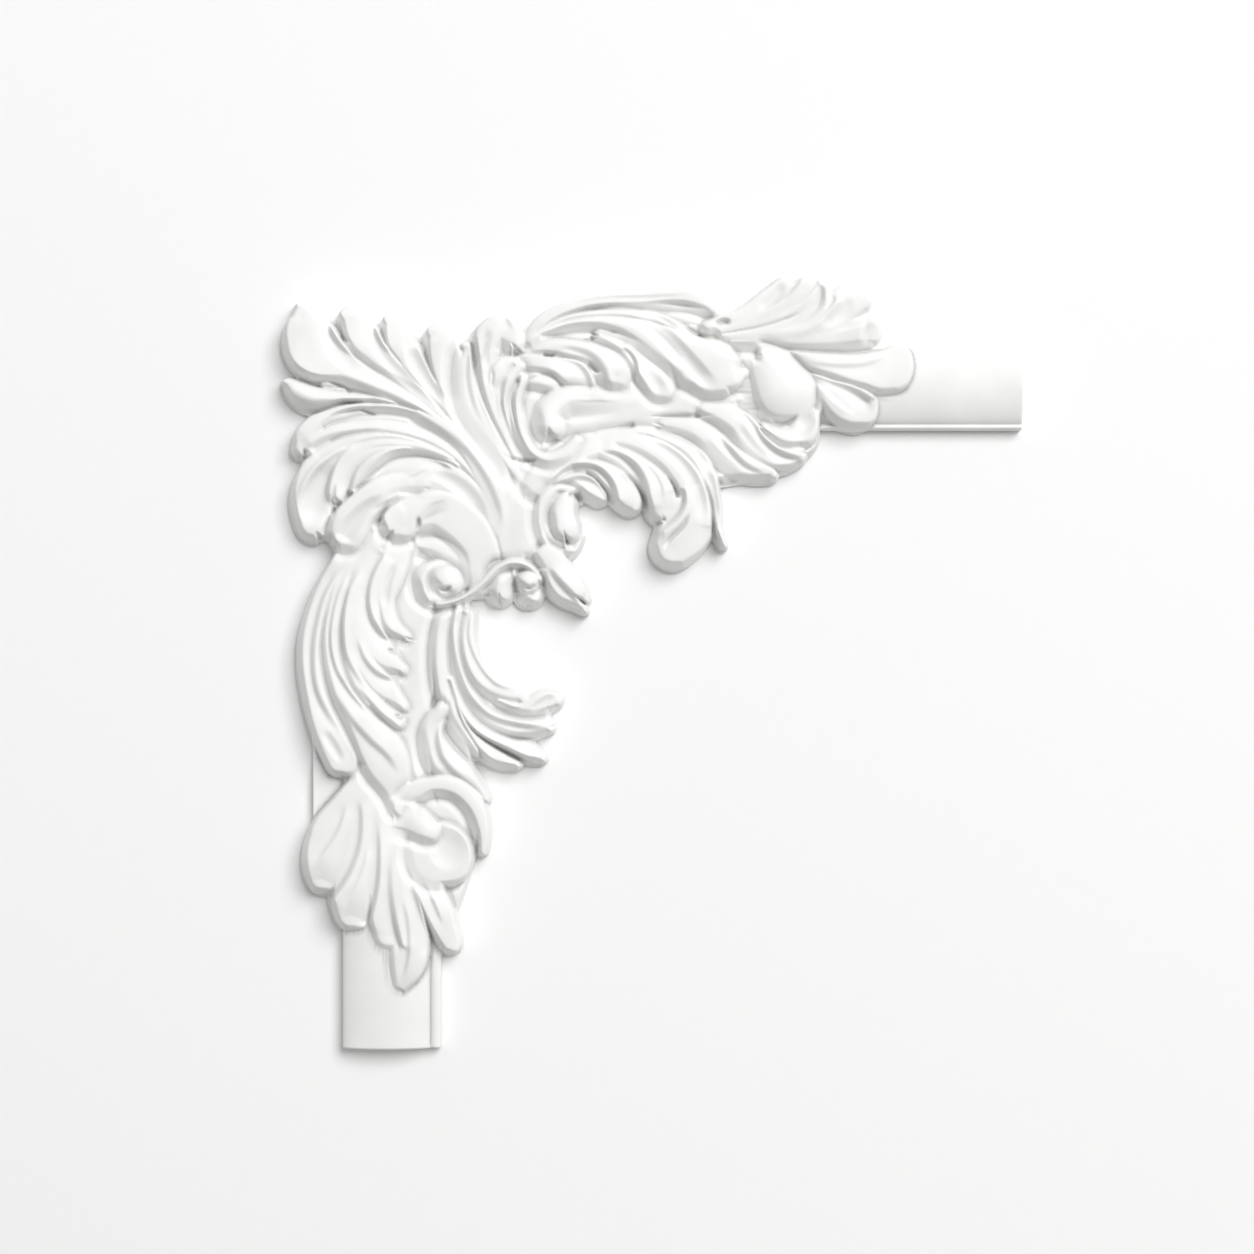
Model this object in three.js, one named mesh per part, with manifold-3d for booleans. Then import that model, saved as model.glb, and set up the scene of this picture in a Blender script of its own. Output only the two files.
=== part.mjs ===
// Panel moulding corner: two short lengths of wall moulding that meet under one carved leaf ornament.
// It is cast in one piece. X runs right along the top rail, Z runs up, and the flat back lies on the wall
// at Y = 0 with all relief standing off it towards -Y. The origin is where the rails' centre lines cross.
import * as THREE from "three";
import { mergeVertices } from "three/addons/utils/BufferGeometryUtils.js";
import Module from "manifold-3d";

const wasm = await Module();
wasm.setup();

// Driving dimensions of the two rails, in millimetres.
const SIDE_RAIL_WIDTH = 49;
const SIDE_RAIL_REACH = 328.5;
const SIDE_RAIL_START = 85.5;
const SIDE_FILLET_WIDTH = 5.5;
const TOP_RAIL_WIDTH = 42;
const TOP_RAIL_REACH = 313.5;
const TOP_RAIL_START = 153.5;
const TOP_FILLET_WIDTH = 2.8;
const RAIL_DEPTH = 13;
const RAIL_EDGE_DEPTH = 6.5;
const FILLET_DEPTH = 7.6;
const GROOVE_DEPTH = 5.4;

// The thin backing that the leaves of each arm are cast on.
const BACKING_DEPTH = 5;
const SIDE_BACKING_WIDTH = 72.5;
const SIDE_BACKING_SHIFT = -3.2;
const SIDE_BACKING_START = 100;
const SIDE_BACKING_REACH = 251.5;
const TOP_BACKING_WIDTH = 56;
const TOP_BACKING_START = 85;
const TOP_BACKING_REACH = 211;

// The ornament, over its widest span and at its highest ball.
const ORNAMENT_WIDTH = 315.5;
const ORNAMENT_DEPTH = 22;

// How finely the lobes are faceted.
const STEP_ALONG = 60;
const WALL_DRAFT = 6;
const LEAST_SHOULDER = 0.55;
const TIP_ANGLE = THREE.MathUtils.degToRad(50);
const BALL_SIDES = 12;
const BALL_RINGS = 2;
const BALL_POWER = 2.2;
const TIP_CREST = 0.92;
const CREST_SHIFT = 0.75;
const FALL_POWER = 1.5;
const DISH_POWER = 1.3;
const BEND_MARGIN = 0.9;
const DOME_STEPS = 10;
const DOME_POWER = 1.3;
const FILLET_STEPS = 4;
// Every piece is made this much too deep and then cut flush with the wall.
const CUT_ALLOWANCE = 3;

// The carving is laid out on a drawing sheet of its own, x to the right and y down, which the driving dimensions
// scale. A lobe swells from its root to its tip through stations [x, y, half width, crest height] on that sheet.
// lean moves its crest to the left (+) or right (-) of the way it grows, fall lowers its sides, dish hollows it.
function lobe(name, { lean = 0, fall = 0.35, dish = 0 }, ...stations) {
  return { name, lean, fall, dish, stations };
}

const LOBES = [
  // beds: low ground that closes the leaves
  lobe("bed_corner", {},
    [500, 520, 30, 30], [440, 440, 44, 31], [375, 385, 30, 30], [335, 362, 22, 28]),
  lobe("bed_sweep", {}, [500, 540, 40, 30], [420, 480, 44, 30], [360, 470, 40, 28], [330, 490, 28, 26]),
  lobe("bed_top", {},
    [520, 430, 40, 30], [600, 390, 52, 31], [680, 370, 50, 30], [760, 365, 44, 27],
    [840, 360, 34, 27]),
  lobe("bed_knot", {}, [450, 560, 34, 27], [510, 560, 36, 28], [548, 536, 33, 28]),
  lobe("bed_side", {},
    [430, 580, 40, 26], [370, 640, 48, 27], [350, 700, 38, 27], [390, 780, 40, 27],
    [420, 850, 44, 27]),
  lobe("bed_fan", {}, [560, 450, 24, 29], [650, 460, 28, 28], [740, 450, 34, 26], [790, 435, 30, 25]),
  lobe("bed_foot", {}, [445, 740, 22, 27], [455, 800, 26, 27], [450, 850, 26, 24], [440, 915, 16, 14]),
  lobe("bed_frond", {}, [450, 600, 20, 27], [460, 680, 26, 27], [500, 715, 26, 26], [530, 720, 22, 24]),
  lobe("bed_lip", {}, [440, 432, 18, 30], [385, 424, 16, 28], [335, 432, 14, 24]),
  lobe("bed_upright", {}, [505, 440, 22, 30], [495, 385, 24, 29], [508, 356, 17, 28]),
  lobe("bed_spoon", {}, [470, 560, 24, 28], [405, 540, 24, 28], [352, 562, 20, 26]),
  lobe("bed_arm", {}, [550, 345, 18, 30], [640, 322, 16, 29], [705, 325, 14, 27], [750, 335, 18, 26]),
  lobe("bed_heart", {}, [495, 475, 28, 30], [530, 490, 30, 30], [568, 470, 24, 30]),
  // stalks
  lobe("side_stalk", { fall: 0.1 },
    [430, 600, 26, 28], [420, 680, 26, 28], [415, 760, 24, 28], [410, 830, 22, 28]),
  lobe("top_stalk", { fall: 0.1 },
    [560, 412, 20, 36], [610, 405, 26, 35], [660, 402, 26, 33], [720, 398, 24, 31]),
  // corner leaf
  lobe("corner_under", { lean: -0.95, fall: 0.7 },
    [430, 412, 5, 31], [385, 404, 6, 31], [345, 402, 9, 30], [318, 403, 15, 29],
    [300, 396, 14, 28], [290, 387, 9, 26]),
  lobe("corner_1", { lean: 0.8, fall: 0.45 },
    [455, 432, 9, 34], [400, 396, 14, 35], [350, 373, 17, 35], [312, 347, 31, 34],
    [306, 325, 17, 32], [302, 311, 8, 28]),
  lobe("corner_2", { lean: 0.75, fall: 0.45 },
    [465, 440, 9, 34], [418, 394, 14, 35], [380, 357, 19, 35], [360, 336, 20, 34],
    [353, 323, 16, 33]),
  lobe("corner_3", { lean: 0.75, fall: 0.45 },
    [482, 458, 10, 34], [442, 402, 14, 35], [409, 360, 18, 35], [397, 340, 18, 34],
    [394, 328, 14, 33]),
  lobe("corner_4", { lean: 0.6, fall: 0.4 },
    [505, 495, 12, 35], [475, 432, 17, 35], [450, 385, 20, 35], [442, 352, 20, 34],
    [440, 341, 17, 33]),
  lobe("stem", { lean: 0.3, fall: 0.2 },
    [512, 570, 16, 36], [505, 530, 18, 37], [488, 480, 20, 37], [462, 440, 17, 36],
    [420, 415, 10, 35]),
  // second leaf, sweeping over to the left
  lobe("sweep_under", { lean: -0.5, fall: 0.5 },
    [500, 545, 9, 35], [482, 490, 10, 35], [447, 452, 10, 34], [400, 434, 10, 34],
    [360, 432, 11, 33], [330, 440, 11, 31], [312, 452, 10, 29]),
  lobe("sweep_top", { lean: -0.55, fall: 0.45 },
    [508, 540, 8, 37], [496, 485, 8, 37], [466, 442, 8, 37], [422, 416, 7, 36], [380, 409, 7, 36],
    [345, 412, 9, 35], [318, 425, 10, 33], [304, 441, 10, 31], [299, 456, 7, 28]),
  lobe("sweep_cup", { lean: -0.2, fall: 0.4, dish: 0.22 },
    [455, 462, 9, 33], [410, 446, 12, 34], [365, 447, 16, 35], [330, 470, 24, 35],
    [312, 500, 23, 32], [316, 524, 22, 29]),
  lobe("sweep_3", { lean: 0.6, fall: 0.45 },
    [440, 455, 8, 34], [400, 450, 9, 35], [365, 458, 11, 36], [344, 478, 12, 35],
    [339, 498, 9, 32]),
  lobe("sweep_4", { lean: 0.6, fall: 0.45 },
    [460, 468, 8, 35], [425, 452, 8, 36], [390, 454, 9, 36], [366, 470, 10, 35], [354, 492, 6, 33]),
  lobe("spoon", { lean: -0.2, fall: 0.35, dish: 0.2 },
    [495, 550, 16, 38], [470, 500, 18, 38], [430, 483, 17, 38], [392, 490, 18, 39],
    [365, 511, 19, 39], [350, 530, 21, 38], [347, 536, 20, 37]),
  lobe("spoon_2", { lean: 0.35, fall: 0.35 },
    [490, 560, 14, 39], [468, 520, 16, 39], [440, 506, 15, 40], [412, 512, 17, 40],
    [398, 527, 20, 37]),
  // left scroll under the stem
  lobe("eye_ring", { fall: 0.3 }, [441, 585, 27, 35]),
  lobe("eye_left", { fall: 0.4 }, [445, 579, 10, 39]),
  lobe("tendril_barrel", { fall: 0.6 }, [500, 565, 11, 36], [500, 598, 13, 34]),
  lobe("tendril_lobe", { fall: 0.6 }, [530, 580, 14, 36], [530, 600, 17, 33]),
  lobe("tendril", { fall: 0.6 },
    [438, 606, 7, 37], [463, 597, 8, 38], [482, 583, 8, 39], [500, 567, 9, 40], [520, 560, 9, 41],
    [536, 570, 8, 40], [538, 584, 7, 38]),
  lobe("eye_right", { fall: 0.4 }, [528, 583, 13, 38]),
  lobe("bud", { lean: 0.25, fall: 0.7 },
    [553, 560, 14, 38], [560, 580, 19, 38], [572, 598, 20, 37], [578, 606, 14, 34]),
  // fan leaf right of the curl
  lobe("fan_5", { lean: 0.6, fall: 0.4 },
    [600, 438, 6, 31], [660, 440, 9, 32], [698, 466, 12, 32], [712, 500, 10, 32],
    [716, 530, 8, 31], [722, 547, 6, 30]),
  lobe("fan_4", { lean: -0.75, fall: 0.4 },
    [580, 446, 8, 32], [640, 446, 15, 34], [676, 468, 19, 35], [692, 500, 22, 36],
    [684, 530, 29, 36], [672, 549, 24, 33]),
  lobe("fan_3", { lean: 0.6, fall: 0.4, dish: 0.12 },
    [570, 455, 8, 34], [612, 456, 14, 35], [642, 476, 18, 36], [660, 498, 20, 36],
    [662, 510, 19, 34]),
  lobe("fan_2", { lean: 0.7, fall: 0.45, dish: 0.15 },
    [560, 466, 7, 36], [592, 470, 12, 37], [614, 484, 18, 38], [628, 502, 16, 37],
    [630, 507, 12, 35]),
  lobe("fan_1", { lean: 0.7, fall: 0.5, dish: 0.2 },
    [552, 486, 5, 38], [572, 482, 9, 39], [590, 489, 15, 39], [598, 496, 13, 37]),
  // curl with its ball
  lobe("curl", { fall: 0.5 },
    [580, 500, 6, 38], [560, 492, 7, 39], [544, 505, 8, 40], [541, 528, 8, 40], [553, 549, 9, 39],
    [570, 551, 9, 38], [580, 538, 6, 36]),
  lobe("curl_ball", { fall: 0.6 }, [563, 528, 18, 42]),
  lobe("curl_cap", { fall: 0.6 }, [565, 509, 13, 41]),
  // upright leaf
  lobe("upright_1", { lean: -0.5, fall: 0.6 },
    [520, 485, 10, 35], [492, 440, 15, 36], [473, 405, 17, 36], [466, 372, 13, 35],
    [467, 350, 9, 33]),
  lobe("upright_2", { lean: 0.4, fall: 0.4, dish: 0.08 },
    [512, 455, 8, 36], [492, 408, 13, 37], [484, 370, 14, 38], [489, 343, 19, 38],
    [503, 335, 20, 37], [513, 346, 13, 35]),
  lobe("upright_3", { lean: 0.3, fall: 0.5 },
    [510, 445, 6, 37], [498, 412, 8, 38], [495, 388, 9, 38], [503, 371, 11, 38], [514, 366, 7, 36]),
  lobe("upright_4", { lean: 0.3, fall: 0.5 },
    [524, 468, 7, 37], [510, 432, 8, 38], [505, 402, 9, 38], [512, 380, 9, 38], [520, 370, 6, 36]),
  lobe("upright_5", { lean: 0.2, fall: 0.6 },
    [530, 460, 6, 37], [520, 428, 7, 38], [517, 405, 7, 38], [521, 388, 7, 37], [523, 382, 4, 35]),
  // upper arm leaf
  lobe("arm_1", { lean: 0.3, fall: 0.4 },
    [525, 345, 7, 32], [545, 325, 11, 33], [580, 311, 11, 33], [640, 305, 12, 33],
    [690, 303, 13, 32], [708, 312, 10, 30]),
  lobe("arm_2", { lean: 0.4, fall: 0.4 },
    [530, 346, 6, 34], [560, 325, 9, 34], [605, 318, 10, 35], [655, 325, 10, 35],
    [690, 340, 8, 34]),
  lobe("arm_6", { lean: 0.6, fall: 0.4, dish: 0.25 },
    [530, 362, 6, 33], [560, 366, 10, 33], [578, 378, 16, 34], [582, 384, 14, 32]),
  lobe("arm_5", { lean: 0.6, fall: 0.4, dish: 0.15 },
    [530, 350, 6, 35], [565, 349, 9, 35], [596, 357, 13, 35], [614, 374, 19, 34],
    [616, 377, 17, 33]),
  lobe("arm_4", { lean: 0.6, fall: 0.4, dish: 0.2 },
    [580, 340, 6, 35], [625, 352, 11, 35], [650, 374, 19, 35], [659, 390, 17, 33]),
  lobe("arm_3", { lean: 0.2, fall: 0.3, dish: 0.06 },
    [530, 344, 5, 36], [570, 328, 8, 37], [620, 328, 14, 38], [660, 344, 22, 39],
    [695, 364, 29, 39], [712, 372, 32, 36]),
  lobe("arm_7", { lean: 0.4, fall: 0.5, dish: 0.2 },
    [535, 370, 5, 33], [548, 378, 8, 33], [556, 386, 8, 31]),
  // bowl with its ball
  lobe("bowl", { fall: 0.5 },
    [520, 436, 6, 38], [526, 456, 9, 39], [546, 468, 10, 39], [566, 460, 9, 39], [577, 442, 6, 38]),
  lobe("bowl_neck", { fall: 0.3 }, [600, 402, 20, 37], [570, 404, 20, 39], [552, 416, 22, 41]),
  lobe("bowl_ball", { fall: 0.5 }, [550, 430, 20, 44]),
  // upper right leaf
  lobe("crown_4", { lean: 0.5, fall: 0.35, dish: 0.15 },
    [730, 345, 7, 30], [790, 343, 13, 32], [838, 338, 17, 33], [864, 336, 18, 31]),
  lobe("crown_3b", { lean: 0.5, fall: 0.4 },
    [735, 345, 7, 31], [800, 335, 14, 33], [838, 318, 18, 34], [857, 305, 15, 32]),
  lobe("crown_3", { lean: 0.5, fall: 0.4 },
    [725, 342, 7, 32], [780, 335, 13, 34], [820, 322, 18, 35], [845, 305, 17, 33]),
  lobe("crown_2b", { lean: 0.5, fall: 0.4 },
    [722, 338, 7, 33], [765, 325, 11, 34], [795, 310, 15, 35], [815, 294, 14, 33]),
  lobe("crown_2", { lean: 0.5, fall: 0.4 },
    [720, 336, 7, 33], [760, 322, 11, 34], [785, 306, 14, 35], [802, 291, 12, 33]),
  lobe("crown_1", { lean: 0.5, fall: 0.4 },
    [708, 334, 8, 33], [745, 319, 11, 34], [768, 303, 12, 34], [781, 291, 12, 32]),
  // right end
  lobe("paddle_2", { lean: 0.7, fall: 0.45 },
    [765, 378, 8, 33], [815, 392, 16, 33], [845, 408, 23, 33], [857, 410, 20, 31]),
  lobe("paddle_1", { lean: 0.3, fall: 0.35 },
    [765, 362, 8, 34], [820, 370, 11, 36], [862, 376, 16, 37], [888, 371, 21, 36],
    [896, 360, 16, 33]),
  lobe("band_1", { lean: 0.7, fall: 0.45 },
    [665, 428, 6, 30], [698, 434, 10, 31], [720, 454, 13, 31], [745, 470, 14, 30],
    [768, 476, 9, 28]),
  lobe("band_2", { lean: 0.6, fall: 0.45 },
    [705, 412, 7, 32], [736, 422, 13, 33], [755, 448, 14, 33], [778, 463, 14, 32],
    [796, 458, 10, 29]),
  lobe("shell_hook", { lean: 0.4, fall: 0.45 },
    [785, 368, 9, 37], [805, 392, 11, 37], [808, 418, 11, 37], [802, 438, 13, 35],
    [786, 444, 11, 33], [770, 432, 8, 31]),
  lobe("shell", { fall: 0.6 }, [758, 352, 10, 36], [775, 372, 17, 39], [783, 396, 23, 40]),
  // long leaf of the side arm
  lobe("long_1", { lean: -0.5, fall: 0.4, dish: 0.08 },
    [348, 562, 9, 32], [323, 600, 12, 33], [311, 650, 13, 34], [317, 700, 14, 34],
    [331, 738, 18, 34], [343, 759, 21, 31]),
  lobe("long_8", { lean: 0.2, fall: 0.6 }, [415, 552, 10, 34], [404, 575, 12, 34], [398, 600, 9, 33]),
  lobe("long_7", { lean: -0.5, fall: 0.5 },
    [402, 550, 9, 34], [385, 575, 11, 35], [381, 605, 10, 35], [392, 629, 10, 34],
    [406, 637, 7, 31]),
  lobe("long_6", { lean: -0.4, fall: 0.5 },
    [372, 600, 8, 34], [370, 640, 10, 34], [386, 666, 10, 34], [402, 673, 6, 31]),
  lobe("long_5", { lean: -0.4, fall: 0.5 },
    [368, 640, 8, 33], [376, 680, 10, 34], [395, 702, 10, 34], [404, 709, 7, 31]),
  lobe("long_4", { lean: -0.4, fall: 0.5 },
    [362, 640, 8, 34], [366, 680, 10, 35], [383, 708, 11, 35], [398, 724, 9, 32]),
  lobe("long_3", { lean: -0.5, fall: 0.45 },
    [374, 560, 8, 34], [355, 595, 10, 35], [350, 640, 10, 36], [358, 680, 11, 36],
    [371, 705, 10, 33]),
  lobe("long_2", { lean: -0.5, fall: 0.4 },
    [362, 560, 9, 34], [338, 600, 11, 35], [332, 645, 12, 36], [343, 690, 14, 37],
    [364, 724, 18, 38], [388, 762, 24, 37], [397, 792, 13, 34], [397, 807, 7, 31]),
  // frond on the inside of the side arm
  lobe("frond_4", { lean: 0.4, fall: 0.45 },
    [500, 700, 7, 30], [525, 708, 11, 31], [545, 702, 14, 32], [554, 700, 11, 30]),
  lobe("frond_3", { lean: 0.4, fall: 0.45 },
    [470, 615, 9, 32], [469, 650, 13, 33], [482, 678, 14, 33], [505, 692, 14, 33],
    [520, 697, 11, 31]),
  lobe("frond_6", { lean: 0.5, fall: 0.45 },
    [455, 690, 7, 31], [470, 730, 10, 32], [498, 758, 12, 32], [516, 764, 8, 29]),
  lobe("frond_5", { lean: 0.5, fall: 0.45 },
    [452, 680, 7, 32], [474, 726, 10, 33], [510, 746, 11, 33], [532, 754, 12, 31],
    [541, 758, 8, 29]),
  lobe("frond_2", { lean: 0.55, fall: 0.45 },
    [458, 606, 6, 35], [455, 650, 9, 35], [465, 690, 10, 35], [487, 717, 11, 35],
    [520, 729, 12, 34], [547, 727, 10, 31]),
  lobe("frond_1", { lean: 0.4, fall: 0.45 },
    [446, 606, 8, 34], [439, 650, 11, 34], [443, 690, 12, 34], [456, 722, 13, 33],
    [476, 750, 11, 31]),
  // scroll at the foot of the side arm
  lobe("foot_lobe", { lean: -0.5, fall: 0.4, dish: 0.12 },
    [443, 708, 8, 33], [432, 735, 14, 34], [441, 760, 19, 35], [465, 780, 17, 35],
    [485, 798, 8, 32]),
  lobe("foot_band", { lean: 0.4, fall: 0.45 },
    [400, 800, 10, 33], [416, 788, 12, 34], [434, 784, 12, 35], [456, 786, 12, 35],
    [475, 806, 12, 36], [482, 832, 11, 35], [482, 850, 8, 32]),
  // bottom leaf
  lobe("tail_1", { lean: -0.5, fall: 0.45 },
    [394, 792, 8, 33], [362, 817, 16, 34], [334, 848, 26, 34], [324, 868, 24, 32],
    [323, 875, 21, 31]),
  lobe("tail_2", { lean: -0.5, fall: 0.45 },
    [396, 802, 8, 34], [370, 842, 15, 34], [355, 884, 21, 34], [350, 911, 22, 32]),
  lobe("tail_3", { lean: -0.4, fall: 0.45 },
    [400, 812, 8, 34], [386, 870, 13, 34], [386, 918, 16, 33], [389, 936, 16, 31]),
  lobe("tail_5", { lean: -0.3, fall: 0.45 },
    [406, 825, 8, 33], [420, 880, 14, 33], [438, 914, 15, 33], [449, 936, 13, 31]),
  lobe("tail_4", { lean: -0.4, fall: 0.45 },
    [403, 815, 8, 35], [402, 880, 14, 35], [409, 935, 19, 35], [410, 964, 20, 34],
    [403, 980, 12, 31]),
  lobe("foot_disc", { fall: 0.2 }, [446, 850, 31, 34]),
  lobe("foot_eye", { fall: 0.4 }, [398, 805, 12, 35], [415, 816, 15, 38], [428, 832, 14, 41]),
];

// Where the rails' centre lines cross on the sheet, and what one square of the sheet and one step of height measure.
const SHEET_CORNER = [393, 389];
const STATIONS = LOBES.flatMap((form) => form.stations);
const sheetLeft = Math.min(...STATIONS.map(([x, , half]) => x - half));
const sheetRight = Math.max(...STATIONS.map(([x, , half]) => x + half));
const SHEET_UNIT = ORNAMENT_WIDTH / (sheetRight - sheetLeft);
const HEIGHT_UNIT = ORNAMENT_DEPTH / Math.max(...STATIONS.map(([, , , crest]) => crest));

// A closed mesh as a manifold-3d solid.
function solidOf(geometry) {
  geometry.deleteAttribute("normal");
  geometry.deleteAttribute("uv");
  const merged = mergeVertices(geometry, 1e-4);
  const mesh = new wasm.Mesh({
    numProp: 3,
    vertProperties: Float32Array.from(merged.attributes.position.array),
    triVerts: Uint32Array.from(merged.index.array),
  });
  return new wasm.Manifold(mesh);
}

function join(solids) {
  return solids.reduce((whole, next) => whole.add(next));
}

// A sheet point and a height above the wall, in the part's own frame.
function place(x, y, height) {
  return [
    (x - SHEET_CORNER[0]) * SHEET_UNIT,
    -height,
    (SHEET_CORNER[1] - y) * SHEET_UNIT,
  ];
}

// Cubic through the stations, sampled about every STEP_ALONG of sheet.
function sampleStations(stations) {
  const chord = (a, b) => Math.hypot(a[0] - b[0], a[1] - b[1]);
  const steps = stations.slice(1).map((s, i) => chord(s, stations[i]));
  const slope = (i) => stations[i].map((v, k) => (stations[i + 1][k] - v) / steps[i]);
  const last = stations.length - 1;
  const tangents = stations.map((s, i) => {
    if (i === 0) return slope(0);
    if (i === last) return slope(last - 1);
    const [before, after] = [slope(i - 1), slope(i)];
    const total = steps[i - 1] + steps[i];
    return before.map((v, k) => (v * steps[i] + after[k] * steps[i - 1]) / total);
  });
  const samples = [];
  for (let i = 0; i < last; i++) {
    const count = Math.max(1, Math.round(steps[i] / STEP_ALONG));
    for (let j = 0; j < count; j++) {
      samples.push(hermite(stations, tangents, steps[i], i, j / count));
    }
  }
  samples.push(stations[last]);
  return samples;
}

function hermite(stations, tangents, step, i, u) {
  const [u2, u3] = [u * u, u * u * u];
  return stations[i].map(
    (v, k) =>
      v * (2 * u3 - 3 * u2 + 1) +
      tangents[i][k] * step * (u3 - 2 * u2 + u) +
      stations[i + 1][k] * (3 * u2 - 2 * u3) +
      tangents[i + 1][k] * step * (u3 - u2),
  );
}

// Height share across a lobe, t running from 1 at its left side to -1 at its right.
function sectionHeight({ lean, fall, dish }, t) {
  const crest = CREST_SHIFT * lean;
  const way = t > crest ? (t - crest) / (1 - crest) : (crest - t) / (1 + crest);
  const drop = (t > crest ? 1 - crest : 1 + crest) / 2;
  return 1 - drop * fall * way ** FALL_POWER - dish * (1 - t * t) ** DISH_POWER;
}

// Where a side wall ends and the top begins, as a share of the half width.
function shoulderOf(half) {
  return Math.max(1 - WALL_DRAFT / half, LEAST_SHOULDER);
}

// The shares of the half width at which a lobe's top has a point, with two more where it is dished.
function crestShares(form, half) {
  const shoulder = shoulderOf(half);
  const crest = CREST_SHIFT * form.lean * shoulder;
  if (form.dish === 0) return [shoulder, crest, -shoulder];
  return [shoulder, (shoulder + crest) / 2, crest, (crest - shoulder) / 2, -shoulder];
}

// The ring of points round a lobe where it is (half) wide, its inner side drawn in where it bends tightly.
function ring(form, at, heading, half, crest) {
  const [x, y] = at;
  const wide = half.full;
  const shares = crestShares(form, wide);
  const side = [heading[1], -heading[0]];
  const point = (t, height) => {
    const out = Math.max(Math.min(t, half.left), -half.right);
    return place(x + side[0] * out, y + side[1] * out, height);
  };
  return [
    point(wide, -CUT_ALLOWANCE),
    ...shares.map((t) => point(t * wide, crest * sectionHeight(form, t) * HEIGHT_UNIT)),
    point(-wide, -CUT_ALLOWANCE),
  ];
}

// Half widths left and right at sample i: the inner one stays short of the bend's own centre.
function halfWidths(samples, headings, i) {
  const full = samples[i][2];
  const half = { full, left: full, right: full };
  for (const j of [i - 1, i]) {
    if (j < 0 || j >= samples.length - 1) continue;
    const [a, b] = [headings[j], headings[j + 1]];
    const turn = Math.asin(THREE.MathUtils.clamp(a[0] * b[1] - a[1] * b[0], -1, 1));
    const chord = Math.hypot(samples[j + 1][0] - samples[j][0], samples[j + 1][1] - samples[j][1]);
    const room = (BEND_MARGIN * chord) / Math.max(Math.abs(turn), 1e-6);
    const inner = turn > 0 ? "right" : "left";
    half[inner] = Math.min(half[inner], room);
  }
  return half;
}

function headingsOf(samples) {
  return samples.map((_, i) => {
    const from = samples[Math.max(i - 1, 0)];
    const to = samples[Math.min(i + 1, samples.length - 1)];
    const length = Math.hypot(to[0] - from[0], to[1] - from[1]);
    return [(to[0] - from[0]) / length, (to[1] - from[1]) / length];
  });
}

// A solid skinned over rings that all have the same number of points, with flat ends.
function skin(rings) {
  const around = rings[0].length;
  const index = [];
  for (let i = 0; i < rings.length - 1; i++) {
    for (let j = 0; j < around; j++) {
      const a = i * around + j;
      const b = i * around + ((j + 1) % around);
      index.push(a, b, a + around, b, b + around, a + around);
    }
  }
  const end = (rings.length - 1) * around;
  for (let j = 1; j < around - 1; j++) {
    index.push(0, j + 1, j);
    index.push(end, end + j, end + j + 1);
  }
  const geometry = new THREE.BufferGeometry();
  geometry.setAttribute("position", new THREE.Float32BufferAttribute(rings.flat(2), 3));
  geometry.setIndex(index);
  return solidOf(geometry);
}

function lobeSolid(form) {
  const samples = sampleStations(form.stations);
  const headings = headingsOf(samples);
  const rings = samples.map((s, i) =>
    ring(form, s, headings[i], halfWidths(samples, headings, i), s[3]));
  const tip = samples.at(-1);
  const heading = headings.at(-1);
  const tipHalf = halfWidths(samples, headings, samples.length - 1);
  const out = Math.sin(TIP_ANGLE) * tip[2];
  const narrow = Math.cos(TIP_ANGLE);
  const at = [tip[0] + heading[0] * out, tip[1] + heading[1] * out];
  const half = { full: tipHalf.full * narrow, left: tipHalf.left * narrow, right: tipHalf.right * narrow };
  rings.push(ring(form, at, heading, half, tip[3] * TIP_CREST));
  return skin(rings);
}

// A ball or eye: a dome turned about its own axis, then stood off the wall.
function ballSolid({ fall, stations: [[x, y, radius, crest]] }) {
  const profile = [new THREE.Vector2(0, -CUT_ALLOWANCE), new THREE.Vector2(radius * SHEET_UNIT, -CUT_ALLOWANCE)];
  for (let i = BALL_RINGS; i >= 0; i--) {
    const share = (i / BALL_RINGS) * shoulderOf(radius);
    const height = crest * (1 - (fall / 2) * share ** BALL_POWER) * HEIGHT_UNIT;
    profile.push(new THREE.Vector2(radius * share * SHEET_UNIT, height));
  }
  const geometry = new THREE.LatheGeometry(profile, BALL_SIDES);
  geometry.rotateX(Math.PI);
  geometry.translate(...place(x, y, 0));
  return solidOf(geometry);
}

// The rail's section: a low dome, a groove and a raised fillet on the side that faces the panel.
function railProfile(width, filletWidth) {
  const dome = width - filletWidth;
  const half = dome / 2;
  const points = [[0, -CUT_ALLOWANCE]];
  for (let i = 0; i <= DOME_STEPS; i++) {
    const angle = (i / DOME_STEPS) * Math.PI;
    const rise = (RAIL_DEPTH - RAIL_EDGE_DEPTH) * Math.sin(angle) ** DOME_POWER;
    points.push([half - half * Math.cos(angle), RAIL_EDGE_DEPTH + rise]);
  }
  points.push([dome, GROOVE_DEPTH]);
  for (let i = 1; i <= FILLET_STEPS; i++) {
    const angle = (i / FILLET_STEPS) * Math.PI;
    const rise = (FILLET_DEPTH - GROOVE_DEPTH) * Math.sin(angle);
    points.push([dome + (filletWidth * (1 - Math.cos(angle))) / 2, GROOVE_DEPTH + rise]);
  }
  points.push([width, -CUT_ALLOWANCE]);
  return points;
}

// A profile of [across, depth] points, its across 0 side lying at outer, run straight down from start to reach.
function runDown(points, outer, start, reach) {
  const shape = new THREE.Shape(points.map(([across, depth]) => new THREE.Vector2(outer + across, -depth)));
  const geometry = new THREE.ExtrudeGeometry(shape, { depth: reach - start, bevelEnabled: false });
  geometry.translate(0, 0, -reach);
  return geometry;
}

function sideRun(points, outer, start, reach) {
  return solidOf(runDown(points, outer, start, reach));
}

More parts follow.
